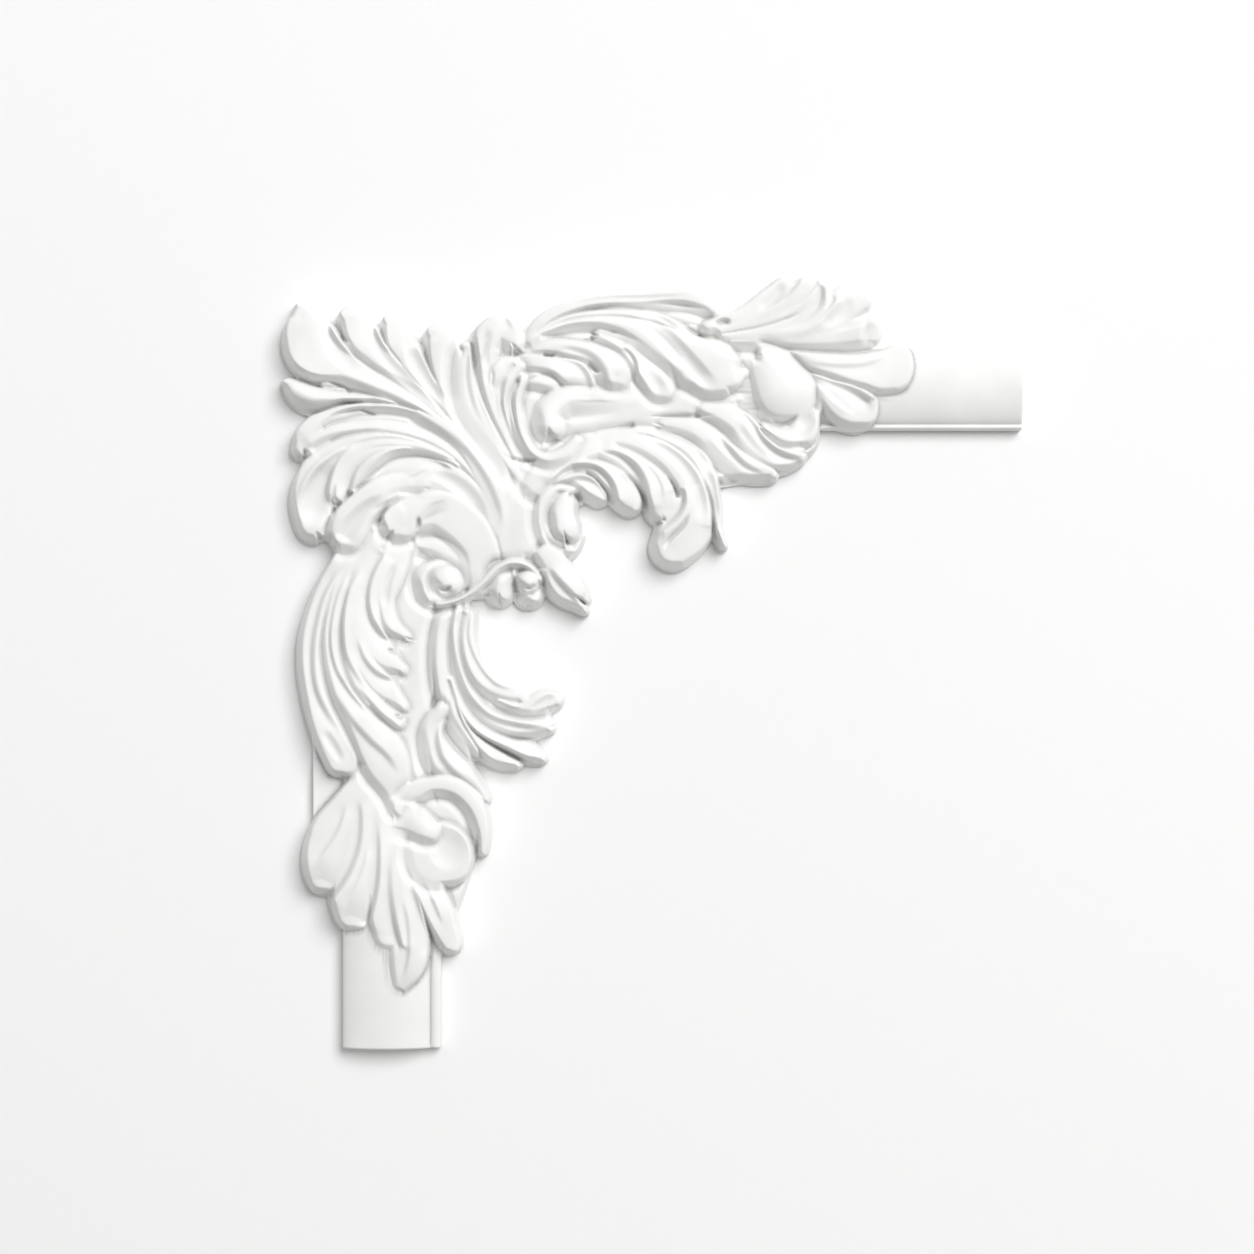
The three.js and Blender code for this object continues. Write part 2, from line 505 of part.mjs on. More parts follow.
// The same run turned to lie along the top rail, its across 0 side uppermost.
function topRun(points, outer, start, reach) {
  const mirrored = points.map(([across, depth]) => [-across, depth]);
  const geometry = runDown(mirrored, -outer, start, reach);
  geometry.rotateY(-Math.PI / 2);
  return solidOf(geometry);
}

function boardProfile(width) {
  return [[0, -CUT_ALLOWANCE], [0, BACKING_DEPTH], [width, BACKING_DEPTH], [width, -CUT_ALLOWANCE]];
}

function rails() {
  const sideOuter = -SIDE_RAIL_WIDTH / 2;
  const topOuter = -TOP_RAIL_WIDTH / 2;
  const sideBoard = SIDE_BACKING_SHIFT - SIDE_BACKING_WIDTH / 2;
  return join([
    sideRun(railProfile(SIDE_RAIL_WIDTH, SIDE_FILLET_WIDTH), sideOuter, SIDE_RAIL_START, SIDE_RAIL_REACH),
    topRun(railProfile(TOP_RAIL_WIDTH, TOP_FILLET_WIDTH), topOuter, TOP_RAIL_START, TOP_RAIL_REACH),
    sideRun(boardProfile(SIDE_BACKING_WIDTH), sideBoard, SIDE_BACKING_START, SIDE_BACKING_REACH),
    topRun(boardProfile(TOP_BACKING_WIDTH), -TOP_BACKING_WIDTH / 2, TOP_BACKING_START, TOP_BACKING_REACH),
  ]);
}

// Everything behind the wall, cut away so that the back is one flat face.
function behindWall() {
  const size = 4 * Math.max(SIDE_RAIL_REACH, TOP_RAIL_REACH, ORNAMENT_WIDTH);
  const geometry = new THREE.BoxGeometry(size, 2 * CUT_ALLOWANCE, size);
  geometry.translate(0, CUT_ALLOWANCE, 0);
  return solidOf(geometry);
}

function cornerGeometry() {
  const carving = LOBES.map((form) => (form.stations.length === 1 ? ballSolid(form) : lobeSolid(form)));
  const whole = join([rails(), ...carving]).subtract(behindWall());
  const { vertProperties, triVerts } = whole.getMesh();
  const geometry = new THREE.BufferGeometry();
  geometry.setAttribute("position", new THREE.BufferAttribute(vertProperties, 3));
  geometry.setIndex(new THREE.BufferAttribute(triVerts, 1));
  geometry.computeVertexNormals();
  return geometry;
}

const primedResin = new THREE.MeshStandardMaterial({
  name: "primed_resin",
  color: 0xf4f4f2,
  roughness: 0.55,
  metalness: 0,
});

const mouldingCorner = new THREE.Mesh(cornerGeometry(), primedResin);
mouldingCorner.name = "moulding_corner";

const group = new THREE.Group();
group.add(mouldingCorner);

export default group;
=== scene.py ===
"""Panel moulding corner: the finish and fine carving of one cast corner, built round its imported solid.

The relief is a height field over a drawing sheet whose unit is half a millimetre. The rails and thin boards come
first, the leaves are laid on them lobe over lobe, and creases and flutes are cut into each leaf. The field then
becomes one closed mesh with a flat back.
"""

import logging
from dataclasses import dataclass
from enum import Enum

import bpy
import numpy as np
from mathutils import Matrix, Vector


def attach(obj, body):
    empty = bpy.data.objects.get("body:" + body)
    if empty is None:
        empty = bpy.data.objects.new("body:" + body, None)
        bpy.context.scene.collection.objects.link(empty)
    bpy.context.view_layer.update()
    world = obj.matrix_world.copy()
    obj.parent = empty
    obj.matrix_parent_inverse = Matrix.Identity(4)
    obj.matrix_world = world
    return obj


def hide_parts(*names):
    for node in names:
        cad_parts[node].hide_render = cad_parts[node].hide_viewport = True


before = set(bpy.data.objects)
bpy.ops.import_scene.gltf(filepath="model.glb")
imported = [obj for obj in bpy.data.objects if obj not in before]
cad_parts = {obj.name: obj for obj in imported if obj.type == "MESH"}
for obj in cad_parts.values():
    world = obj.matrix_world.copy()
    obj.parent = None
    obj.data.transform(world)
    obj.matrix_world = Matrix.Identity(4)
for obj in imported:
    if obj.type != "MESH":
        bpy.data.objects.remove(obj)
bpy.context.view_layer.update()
NODE = "moulding_corner"
BODY = "root"
# Name of the mesh attribute that carries the painted shade in the creases and hollows.
CREASE_SHADE = "hollow"
LOG = logging.getLogger("corner")

MM = 0.001
Array = np.ndarray
Stations = tuple[tuple[float, float, float, float], ...]


class Side(Enum):
    """Which way a moulding's stub runs from the corner."""

    DOWN = "down"
    RIGHT = "right"


@dataclass(frozen=True)
class Sheet:
    """The drawing sheet: x to the right, y down, with the rails' centre lines crossing at (corner_x, corner_y)."""

    corner_x: float = 393.0
    corner_y: float = 389.0
    left: float = 268.0
    top: float = 266.0
    plain_x: float = 924.0
    plain_y: float = 1012.0
    right: float = 1020.0
    bottom: float = 1046.0
    pitch: float = 0.8
    stride: float = 8.0
    unit_mm: float = 0.5

    def lines(self, start: float, plain: float, end: float) -> Array:
        """Grid lines, close together as far as the carving goes, then wide apart along the plain rail.

        Args:
            start: the first line.
            plain: where the rail runs on without carving.
            end: the rail's end, where the lines are close again for its edge.

        Returns:
            The lines in order, one of them on the end and one just beyond.
        """
        pitch = self.pitch
        near_end = end - 4.0 * pitch
        return np.concatenate(
            [
                np.arange(start, plain, pitch),
                np.arange(plain, near_end - 1.0, self.stride),
                near_end + pitch * np.arange(6),
            ]
        )

    def across(self) -> Array:
        """The x of every grid line."""
        return self.lines(self.left, self.plain_x, self.right)

    def down(self) -> Array:
        """The y of every grid line."""
        return self.lines(self.top, self.plain_y, self.bottom)

    def grid(self) -> tuple[Array, Array]:
        """The x and y of every grid point."""
        return tuple(np.meshgrid(self.across(), self.down()))

    def slopes(self, values: Array) -> tuple[Array, Array]:
        """How steeply a grid of values rises in x and in y."""
        down, across = np.gradient(values, self.down(), self.across())
        return across, down

    def place(self, x: Array, y: Array, height: Array) -> Array:
        """Turns sheet points and heights off the wall into metres in the part's frame.

        Args:
            x, y: places on the sheet.
            height: height off the wall, in sheet units.

        Returns:
            One row of X, Y, Z for each point.
        """
        unit = self.unit_mm * MM
        return np.column_stack([(x - self.corner_x) * unit, -height * unit, (self.corner_y - y) * unit])


def smooth(x: Array) -> Array:
    """Eases 0 to 1 with flat ends, for an x of any shape."""
    x = np.clip(x, 0.0, 1.0)
    return x * x * (3.0 - 2.0 * x)


def round_over(x: Array) -> Array:
    """Rises from 0 to 1 as a quarter circle, steep first."""
    x = np.clip(x, 0.0, 1.0)
    return np.sqrt(1.0 - (1.0 - x) ** 2)


def blur(values: Array, sigma: float) -> Array:
    """Gaussian blur of a grid.

    Args:
        values: the grid.
        sigma: the blur's width in grid points.

    Returns:
        The blurred grid.
    """
    reach = int(np.ceil(3.0 * sigma))
    weights = np.exp(-0.5 * (np.arange(-reach, reach + 1) / sigma) ** 2)
    weights /= weights.sum()
    for axis in (0, 1):
        pad = [(reach, reach) if a == axis else (0, 0) for a in (0, 1)]
        wide = np.pad(values, pad, mode="edge")
        count = values.shape[axis]
        values = sum(w * np.take(wide, range(i, i + count), axis) for i, w in enumerate(weights))
    return values.astype(np.float32)


def spline(stations: Array, count: int) -> Array:
    """A smooth curve through the stations.

    Args:
        stations: one row of x, y, half width and height for each station.
        count: how many samples to give.

    Returns:
        The samples, evenly spaced along the chords.
    """
    steps = np.maximum(np.hypot(*np.diff(stations[:, :2], axis=0).T), 1e-3)
    way = np.concatenate([[0.0], np.cumsum(steps)])
    slopes = np.diff(stations, axis=0) / steps[:, None]
    tangents = np.empty_like(stations)
    tangents[0], tangents[-1] = slopes[0], slopes[-1]
    if len(stations) > 2:
        before, after = steps[:-1, None], steps[1:, None]
        tangents[1:-1] = (slopes[:-1] * after + slopes[1:] * before) / (before + after)
        tangents[0] = 1.5 * slopes[0] - 0.5 * tangents[1]
        tangents[-1] = 1.5 * slopes[-1] - 0.5 * tangents[-2]
    at = np.linspace(0.0, way[-1], count)
    k = np.clip(np.searchsorted(way, at, side="right") - 1, 0, len(stations) - 2)
    step = steps[k][:, None]
    u = (at - way[k])[:, None] / step
    u2, u3 = u * u, u * u * u
    start = (2 * u3 - 3 * u2 + 1) * stations[k] + (u3 - 2 * u2 + u) * step * tangents[k]
    return start + (3 * u2 - 2 * u3) * stations[k + 1] + (u3 - u2) * step * tangents[k + 1]


@dataclass(frozen=True)
class Stroke:
    """Where the grid lies along and across one tool stroke."""

    window: tuple[slice, slice]
    along: Array
    offset: Array
    depth: Array
    half: Array
    height: Array
    beside: Array


def stroke(stations: Stations, x: Array, y: Array, margin: float, even: bool = False) -> Stroke:
    """Measures the grid round a chain of stations.

    Args:
        stations: x, y, half width and height of each station.
        x, y: the grid.
        margin: how far beyond the stroke's outline to measure.
        even: measure from the line itself, however wide the stroke is there.

    Returns:
        For each grid point near it: the way along (0 to 1), the distance off the line (left is positive), the depth
        inside the outline, the half width and height there, and how far the point lies beside the line (1) and
        not past its end (0).
    """
    given = np.array(stations, float)
    if len(given) == 1:
        given = np.vstack([given, given + [0.01, 0.0, 0.0, 0.0]])
    length = np.hypot(*np.diff(given[:, :2], axis=0).T).sum()
    count = int(np.clip(length / 2.5, 8, 90))
    line = spline(given, count).astype(np.float32)
    line[:, 2] = np.maximum(line[:, 2], 0.5)
    heading = np.gradient(line[:, :2], axis=0)
    heading /= np.maximum(np.hypot(*heading.T), 1e-6)[:, None]
    reach = line[:, 2].max() + margin + 1.0
    i0, i1 = np.searchsorted(x[0], [line[:, 0].min() - reach, line[:, 0].max() + reach])
    j0, j1 = np.searchsorted(y[:, 0], [line[:, 1].min() - reach, line[:, 1].max() + reach])
    wx, wy = x[j0:j1, i0:i1], y[j0:j1, i0:i1]
    gaps = (np.hypot(wx - p[0], wy - p[1]) for p in line)
    inside = np.stack([-(gap**2) if even else p[2] - gap for gap, p in zip(gaps, line)])
    centre = np.clip(inside.argmax(0), 1, count - 2)
    low, mid, high = (np.take_along_axis(inside, (centre + d)[None], 0)[0] for d in (-1, 0, 1))
    bend = low - 2.0 * mid + high
    shift = np.where(bend < -1e-6, 0.5 * (low - high) / np.where(bend < -1e-6, bend, 1.0), 0.0)
    at = np.clip(centre + np.clip(shift, -1.0, 1.0), 0, count - 1)
    k = np.clip(at.astype(int), 0, count - 2)
    part = (at - k)[..., None]
    near = line[k] * (1 - part) + line[k + 1] * part
    way = heading[k] * (1 - part) + heading[k + 1] * part
    way /= np.maximum(np.hypot(way[..., 0], way[..., 1]), 1e-6)[..., None]
    dx, dy = wx - near[..., 0], wy - near[..., 1]
    sideways = way[..., 1] * dx - way[..., 0] * dy
    distance = np.hypot(dx, dy)
    past = (at <= 0.0) | (at >= count - 1)
    return Stroke(
        window=(slice(j0, j1), slice(i0, i1)),
        along=at / (count - 1),
        offset=np.where(past, np.sign(sideways) * distance, sideways),
        depth=near[..., 2] - distance,
        half=near[..., 2],
        height=near[..., 3],
        beside=np.where(past, np.abs(sideways) / np.maximum(distance, 1e-3), 1.0),
    )


def fade(along: Array, root: float, tip: float) -> Array:
    """Eases a stroke in over the first share of its way and out over the last.

    Args:
        along: the way along the stroke, 0 to 1.
        root, tip: the shares.

    Returns:
        A factor for each point.
    """
    start = smooth(along / root) if root else 1.0
    return start * (smooth((1.0 - along) / max(tip, 0.12)) if tip else 1.0)


@dataclass(frozen=True)
class Lobe:
    """One lobe of a leaf from its root to its tip: x, y, half width and height at each station.

    fall is how much of its height the lobe loses towards its sides, and root the share of its way over which it
    comes up out of what lies under it.
    """

    stations: Stations
    fall: float = 0.07
    root: float = 0.0


@dataclass(frozen=True)
class Crease:
    """A line where the surface steps up to the left of the way it runs: x, y, width of the step and its rise.

    The surface swells on the high side and sinks on the low side, both dying away over the spread.
    """

    stations: Stations
    spread: float = 9.0
    root: float = 0.2
    tip: float = 0.0


@dataclass(frozen=True)
class Flute:
    """A hollow run of a round gouge: x, y, half width and depth at each station. A negative depth is a rib."""

    stations: Stations
    root: float = 0.25
    tip: float = 0.25


@dataclass(frozen=True)
class Leaf:
    """One leaf or boss: the lobes it is made of, and the lines carved into it.

    edge is the width of its rounded edge, and press how far the ground sinks along its foot.
    """

    name: str
    lobes: tuple[Lobe, ...]
    creases: tuple[Crease, ...] = ()
    flutes: tuple[Flute, ...] = ()
    edge: float = 6.0
    press: float = 3.0


class Relief:
    """The height of the carving over the sheet, and how far each point lies inside its outline."""

    FOOT = 8.0
    BLEND = 4.0
    FALL_POWER = 2.2
    CUT = 1.3
    LEE = (-0.6, 0.8)
    LEE_START = 0.15
    LEE_SPAN = 0.9
    LEE_SHARE = 1.1
    LEAST_GROUND = 6.0
    FLUTE_POWER = 1.4

    def __init__(self, sheet: Sheet, bases: "tuple[Rail | Backing, ...]") -> None:
        """Starts with the rails and boards that the leaves are laid on.

        Args:
            sheet: the drawing sheet.
            bases: the rails and boards.
        """
        self.sheet = sheet
        self.x, self.y = sheet.grid()
        self.carved = np.zeros_like(self.x)
        for base in bases:
            self.carved = np.maximum(self.carved, base.height(self.x, self.y)[0])
        self.reach = np.full_like(self.x, -self.FOOT)

    def lay(self, leaf: Leaf) -> None:
        """Models one leaf and lays it over what is there.

        Args:
            leaf: the leaf to add.
        """
        reach = np.full_like(self.x, -self.FOOT)
        weight = np.full_like(self.x, 1e-6)
        top, risen = np.zeros_like(self.x), np.zeros_like(self.x)
        for lobe in leaf.lobes:
            s = stroke(lobe.stations, self.x, self.y, self.FOOT + 4.0)
            radial = np.clip(1.0 - s.depth / s.half, 0.0, 1.0)
            share = np.exp(np.clip(s.depth / self.BLEND, -2.5, 6.0))
            weight[s.window] += share
            top[s.window] += share * s.height * (1.0 - lobe.fall * radial**self.FALL_POWER)
            risen[s.window] += share * fade(s.along, lobe.root, 0.0)
            reach[s.window] = np.maximum(reach[s.window], s.depth)
        top, risen = top / weight, risen / weight
        for crease in leaf.creases:
            self.step(top, crease)
        for flute in leaf.flutes:
            self.hollow(top, flute)
        inward_x, inward_y = self.sheet.slopes(reach)
        lee = smooth((self.LEE_START - inward_x * self.LEE[0] - inward_y * self.LEE[1]) / self.LEE_SPAN)
        edge = leaf.edge * (0.7 + self.LEE_SHARE * lee)
        rise = np.clip(reach / edge, 0.0, 1.0)
        cover = (round_over(rise) * (1.0 - lee) + rise * (1.3 - 0.3 * rise) * lee) * risen
        foot = np.clip(1.0 + reach / self.FOOT, 0.0, 1.0) ** 2 * (reach < edge) * risen
        pressed = self.carved - leaf.press * (1.0 + lee) * foot
        ground = np.maximum(pressed, np.minimum(self.carved, self.LEAST_GROUND))
        self.carved = ground * (1.0 - cover) + top * cover
        self.reach = np.maximum(self.reach, reach)

    def step(self, top: Array, crease: Crease) -> None:
        """Steps a leaf's surface along one crease.

        Args:
            top: the surface, which is changed.
            crease: the line.
        """
        s = stroke(crease.stations, self.x, self.y, 3.0 * crease.spread, even=True)
        side = 2.0 * smooth(s.offset / s.half + 0.5) - 1.0
        dying = np.exp(-np.abs(s.offset) / crease.spread) * s.beside**2
        top[s.window] += 0.5 * self.CUT * s.height * side * dying * fade(s.along, crease.root, crease.tip)

    def hollow(self, top: Array, flute: Flute) -> None:
        """Cuts one flute into a leaf's surface.

        Args:
            top: the surface, which is changed.
            flute: the cut.
        """
        s = stroke(flute.stations, self.x, self.y, 0.0, even=True)
        radial = np.clip(1.0 - s.depth / s.half, 0.0, 1.0)
        cut = self.CUT * s.height * (1.0 - radial**2) ** self.FLUTE_POWER
        top[s.window] -= cut * fade(s.along, flute.root, flute.tip)


@dataclass(frozen=True)
class Rail:
    """One stub of panel moulding: a low dome, a groove and a fillet on the side that faces the panel."""

    side: Side
    outer: float
    inner: float
    start: float
    end: float
    fillet: float
    depth: float = 26.0
    edge: float = 13.0
    groove: float = 10.8
    fillet_depth: float = 15.2
    dome_power: float = 0.65
    bead_power: float = 0.6
    bevel: float = 1.6

    def height(self, sheet_x: Array, sheet_y: Array) -> tuple[Array, Array]:
        """The stub over the sheet.

        Args:
            sheet_x, sheet_y: the grid.

        Returns:
            Its height, and how far inside its outline each point lies.
        """
        across, along = (sheet_x, sheet_y) if self.side is Side.DOWN else (sheet_y, sheet_x)
        groove_at = self.inner - self.fillet
        middle, half = (self.outer + groove_at) / 2.0, (groove_at - self.outer) / 2.0
        share = np.clip(1.0 - ((across - middle) / half) ** 2, 0.0, 1.0)
        dome = np.where(across < groove_at, self.edge + (self.depth - self.edge) * share**self.dome_power, 0.0)
        roll = np.clip(1.0 - ((across - groove_at) / self.fillet * 2.0 - 1.0) ** 2, 0.0, 1.0)
        bead = self.groove + (self.fillet_depth - self.groove) * roll**self.bead_power
        top = np.where(across < groove_at, dome, bead)
        inside = np.minimum(np.minimum(across - self.outer, self.inner - across), self.end - along)
        inside = np.where(along > self.start, inside, -9.0)
        eased = top - self.bevel * (1.0 - round_over(inside / self.bevel))
        return np.where(inside > -1.0, eased, 0.0), inside


@dataclass(frozen=True)
class Backing:
    """The thin board that an arm's leaves are cast on, between two x and two y on the sheet."""

    left: float
    right: float
    top: float
    bottom: float
    depth: float = 10.0
    edge: float = 1.5

    def height(self, sheet_x: Array, sheet_y: Array) -> tuple[Array, Array]:
        """The board over the sheet.

        Args:
            sheet_x, sheet_y: the grid.

        Returns:
            Its height, and how far inside its outline each point lies.
        """
        inside = np.minimum(
            np.minimum(sheet_x - self.left, self.right - sheet_x),
            np.minimum(sheet_y - self.top, self.bottom - sheet_y),
        )
        return np.where(inside > -1.0, self.depth - (1.0 - round_over(inside / self.edge)), 0.0), inside


def sampled(grid: Array, column: Array, row: Array) -> Array:
    """Reads a grid between its points.

    Args:
        grid: the values.
        column, row: where to read, in grid steps.

    Returns:
        One value for each place.
    """
    i = np.clip(column.astype(int), 0, grid.shape[1] - 2)
    j = np.clip(row.astype(int), 0, grid.shape[0] - 2)
    u, v = np.clip(column - i, 0.0, 1.0), np.clip(row - j, 0.0, 1.0)
    low = grid[j, i] * (1 - u) + grid[j, i + 1] * u
    high = grid[j + 1, i] * (1 - u) + grid[j + 1, i + 1] * u
    return low * (1 - v) + high * v


@dataclass
class Casting:
    """The whole cast: rails and backing under the leaves, as one closed mesh.

    sliver is how far inside the outline a grid point has to lie to be kept where it is. Those nearer to the outline
    move onto it, so that no two points fall on one place.
    """

    sheet: Sheet
    rails: tuple[Rail, ...]
    backings: tuple[Backing, ...]
    leaves: tuple[Leaf, ...]
    wall_width: float = 3.4
    wall_foot: float = 0.40
    wall_share: float = 0.52
    outline_blur: float = 0.8
    outline_edge: float = 1.5
    least_height: float = 5.0
    tool_blur: float = 0.7
    sliver: float = 0.05
    side_slope: float = 0.04
    side_lean: float = 0.02
    # The next two set the painted crease shade: the blur width that hollows are measured against, and the depth at
    # which a hollow gets full painted shade.
    shade_span: float = 3.2
    shade_depth: float = 3.0
    ring: tuple[float, float] = (2.5, 5.0)
    triangle_budget: int = 190000

    def surface(self) -> tuple[Array, Array, Relief]:
        """Works out the finished height over the sheet.

        Returns:
            The height, the signed depth inside the outline, and the relief it came from.
        """
        relief = Relief(self.sheet, (*self.rails, *self.backings))
        for leaf in self.leaves:
            relief.lay(leaf)
        pitch = self.sheet.pitch
        outline = blur(relief.reach, self.outline_blur / pitch)
        body = blur(smooth(outline / self.outline_edge + 0.5), self.wall_width / pitch)
        wall = round_over((body - self.wall_foot) / self.wall_share)
        carved = blur(np.maximum(relief.carved, self.least_height), self.tool_blur / pitch)
        height = np.where(outline > -self.outline_edge, np.maximum(carved * wall, self.least_height), 0.0)
        inside = outline
        for form in (*self.rails, *self.backings):
            form_height, form_inside = form.height(relief.x, relief.y)
            height = np.maximum(height, form_height)
            inside = np.maximum(inside, form_inside)
        return height, inside, relief

    def build(self) -> bpy.types.Object:
        """Makes the mesh object in the part's frame, in metres.

        Returns:
            The closed, thinned and smooth-shaded piece.
        """
        height, inside, relief = self.surface()
        kept = inside > self.sliver
        cell = kept[:-1, :-1] | kept[1:, :-1] | kept[:-1, 1:] | kept[1:, 1:]
        used = np.zeros_like(kept)
        for rows in (slice(0, -1), slice(1, None)):
            for columns in (slice(0, -1), slice(1, None)):
                used[rows, columns] |= cell
        x, y = self.snapped(relief, inside, used & ~kept)
        number = np.cumsum(used.ravel()).reshape(used.shape) - 1
        top = self.sheet.place(x[used], y[used], np.maximum(height, self.least_height)[used])
        j, i = np.nonzero(cell)
        quads = np.column_stack([number[j, i], number[j + 1, i], number[j + 1, i + 1], number[j, i + 1]])
        loops = self.outlines(quads)
        rim = np.concatenate(loops)
        base = top[rim].copy()
        base[:, 1] = 0.0
        under = len(top) + np.arange(len(rim))
        faces = quads.tolist()
        start = 0
        for loop in loops:
            ring = under[start : start + len(loop)]
            ahead, ring_ahead = np.roll(loop, -1), np.roll(ring, -1)
            faces += np.column_stack([ahead, loop, ring, ring_ahead]).tolist()
            faces.append(ring[::-1].tolist())
            start += len(loop)
        mesh = bpy.data.meshes.new(NODE)
        mesh.from_pydata(np.vstack([top, base]).tolist(), [], faces)
        mesh.validate()
        piece = bpy.data.objects.new("cast_corner", mesh)
        bpy.context.scene.collection.objects.link(piece)
        self.thin(piece, relief.reach)
        self.shade(piece.data, height, inside)
        return piece

    def snapped(self, relief: Relief, inside: Array, stray: Array) -> tuple[Array, Array]:
        """Moves the grid points just outside the outline onto it.

        Args:
            relief: holds the grid.
            inside: the signed depth inside the outline.
            stray: which points lie just outside.

        Returns:
            The x and y of every grid point after the move.
        """
        pitch = self.sheet.pitch
        slope_x, slope_y = self.sheet.slopes(inside)
        steep = np.maximum(slope_x**2 + slope_y**2, 0.05)
        step_x, step_y = -inside * slope_x / steep, -inside * slope_y / steep
        length = np.maximum(np.hypot(step_x, step_y), 1e-6)
        keep = np.minimum(1.0, 1.2 * pitch / length)
        x = relief.x + np.where(stray, step_x * keep, 0.0)
        y = relief.y + np.where(stray, step_y * keep, 0.0)
        return x, y

    @staticmethod
    def outlines(quads: Array) -> list[Array]:
        """Chains the open edges of the top into closed loops, which the sides and the flat back are hung on.

        Args:
            quads: the corners of every top face.

        Returns:
            Each loop's vertex numbers, in the faces' own direction.
        """
        ends = np.concatenate([quads[:, [k, (k + 1) % 4]] for k in range(4)])
        size = int(ends.max()) + 1
        forward = ends[:, 0].astype(np.int64) * size + ends[:, 1]
        backward = ends[:, 1].astype(np.int64) * size + ends[:, 0]
        open_ends = ends[~np.isin(forward, backward)]
        following: dict[int, list[int]] = {}
        for a, b in open_ends.tolist():
            following.setdefault(a, []).append(b)
        loops = []
        while following:
            first = next(iter(following))
            loop, at = [], first
            while True:
                loop.append(at)
                onward = following[at]
                step = onward.pop()
                if not onward:
                    del following[at]
                at = step
                if at == first:
                    break
            loops.append(np.array(loop))
        return loops

    def where(self, places: Array) -> tuple[Array, Array]:
        """Finds points of the mesh on the sheet.

        Args:
            places: X, Y, Z of each point, in metres.

        Returns:
            Each point's column and row, in grid steps.
        """
        unit = self.sheet.unit_mm * MM
        lines_x, lines_y = self.sheet.across(), self.sheet.down()
        column = np.interp(places[:, 0] / unit + self.sheet.corner_x, lines_x, np.arange(len(lines_x)))
        row = np.interp(self.sheet.corner_y - places[:, 2] / unit, lines_y, np.arange(len(lines_y)))
        return column, row

    def thin(self, piece: bpy.types.Object, reach: Array) -> None:
        """Thins the mesh to its triangle budget, keeping faces where the carving turns.

        The plain rail ends are kept as they are, and so is a narrow ring of rail round the leaves.

        Args:
            piece: the dense piece.
            reach: how far each grid point lies inside the leaves.
        """
        triangulate = piece.modifiers.new("triangles", "TRIANGULATE")
        triangulate.min_vertices = 4
        count = sum(len(p.vertices) - 2 for p in piece.data.polygons)
        plain = piece.vertex_groups.new(name="plain")
        unit = self.sheet.unit_mm * MM
        places = np.empty(3 * len(piece.data.vertices))
        piece.data.vertices.foreach_get("co", places)
        places = places.reshape(-1, 3)
        off_leaf = -sampled(reach, *self.where(places))
        kept = (off_leaf > self.ring[0]) & (off_leaf < self.ring[1]) & (places[:, 1] < -self.least_height * unit)
        kept |= places[:, 0] > (self.sheet.plain_x - self.sheet.corner_x) * unit
        kept |= places[:, 2] < (self.sheet.corner_y - self.sheet.plain_y) * unit
        plain.add(np.nonzero(kept)[0].tolist(), 1.0, "REPLACE")
        thin = piece.modifiers.new("thinned", "DECIMATE")
        thin.vertex_group = plain.name
        thin.invert_vertex_group = True
        thin.ratio = min(1.0, self.triangle_budget / count)
        graph = bpy.context.evaluated_depsgraph_get()
        mesh = bpy.data.meshes.new_from_object(piece.evaluated_get(graph))
        piece.modifiers.clear()
        piece.vertex_groups.clear()
        dense = piece.data
        piece.data = mesh
        bpy.data.meshes.remove(dense)
        LOG.info("cast_corner: %d triangles from %d", len(mesh.polygons), count)

    def shade(self, mesh: bpy.types.Mesh, height: Array, inside: Array) -> None:
        """Gives the thinned mesh the dense surface's own normals, and its side the outline's.

        Args:
            mesh: the thinned mesh.
            height: the finished height over the sheet.
            inside: the signed depth inside the outline.
        """
        pitch = self.sheet.pitch
        corner_vertex = np.empty(len(mesh.loops), int)
        mesh.loops.foreach_get("vertex_index", corner_vertex)
        places = np.empty(3 * len(mesh.vertices))
        mesh.vertices.foreach_get("co", places)
        places = places.reshape(-1, 3)[corner_vertex]
        facing = np.empty(3 * len(mesh.polygons))
        mesh.polygons.foreach_get("normal", facing)
        corners = np.empty(len(mesh.polygons), int)
        mesh.polygons.foreach_get("loop_total", corners)
        facing = np.repeat(facing.reshape(-1, 3), corners, axis=0)
        column, row = self.where(places)
        rise_x, rise_y = (sampled(g, column, row) for g in self.sheet.slopes(height))
        away_x, away_y = (sampled(g, column, row) for g in self.sheet.slopes(inside))
        top = np.column_stack([-rise_x, -np.ones_like(rise_x), rise_y])
        side = np.column_stack([-away_x, np.full_like(away_x, -self.side_lean), away_y])
        normals = np.where(facing[:, 1:2] < -self.side_slope, top, side)
        normals = np.where(facing[:, 1:2] > 0.5, facing, normals)
        normals /= np.linalg.norm(normals, axis=1)[:, None]
        mesh.shade_smooth()
        mesh.normals_split_custom_set(normals.tolist())
        # Painted shade: how far each point lies below the blurred surface, stored per corner so that the material
        # greys the creases and hollows.
        painted_shade = blur(height, self.shade_span / pitch) - height
        painted_shade = np.where(inside > self.shade_span, np.clip(painted_shade / self.shade_depth, 0.0, 1.0), 0.0)
        hollow = mesh.attributes.new(CREASE_SHADE, "FLOAT", "CORNER")
        hollow.data.foreach_set("value", sampled(painted_shade, column, row).astype(np.float32))


RAILS = (
    Rail(Side.DOWN, outer=344.0, inner=442.0, start=560.0, end=1046.0, fillet=11.0),
    Rail(Side.RIGHT, outer=347.0, inner=431.0, start=700.0, end=1020.0, fillet=5.6),
)
BACKINGS = (
    Backing(left=314.0, right=459.0, top=589.0, bottom=892.0),
    Backing(left=563.0, right=815.0, top=333.0, bottom=445.0),
)

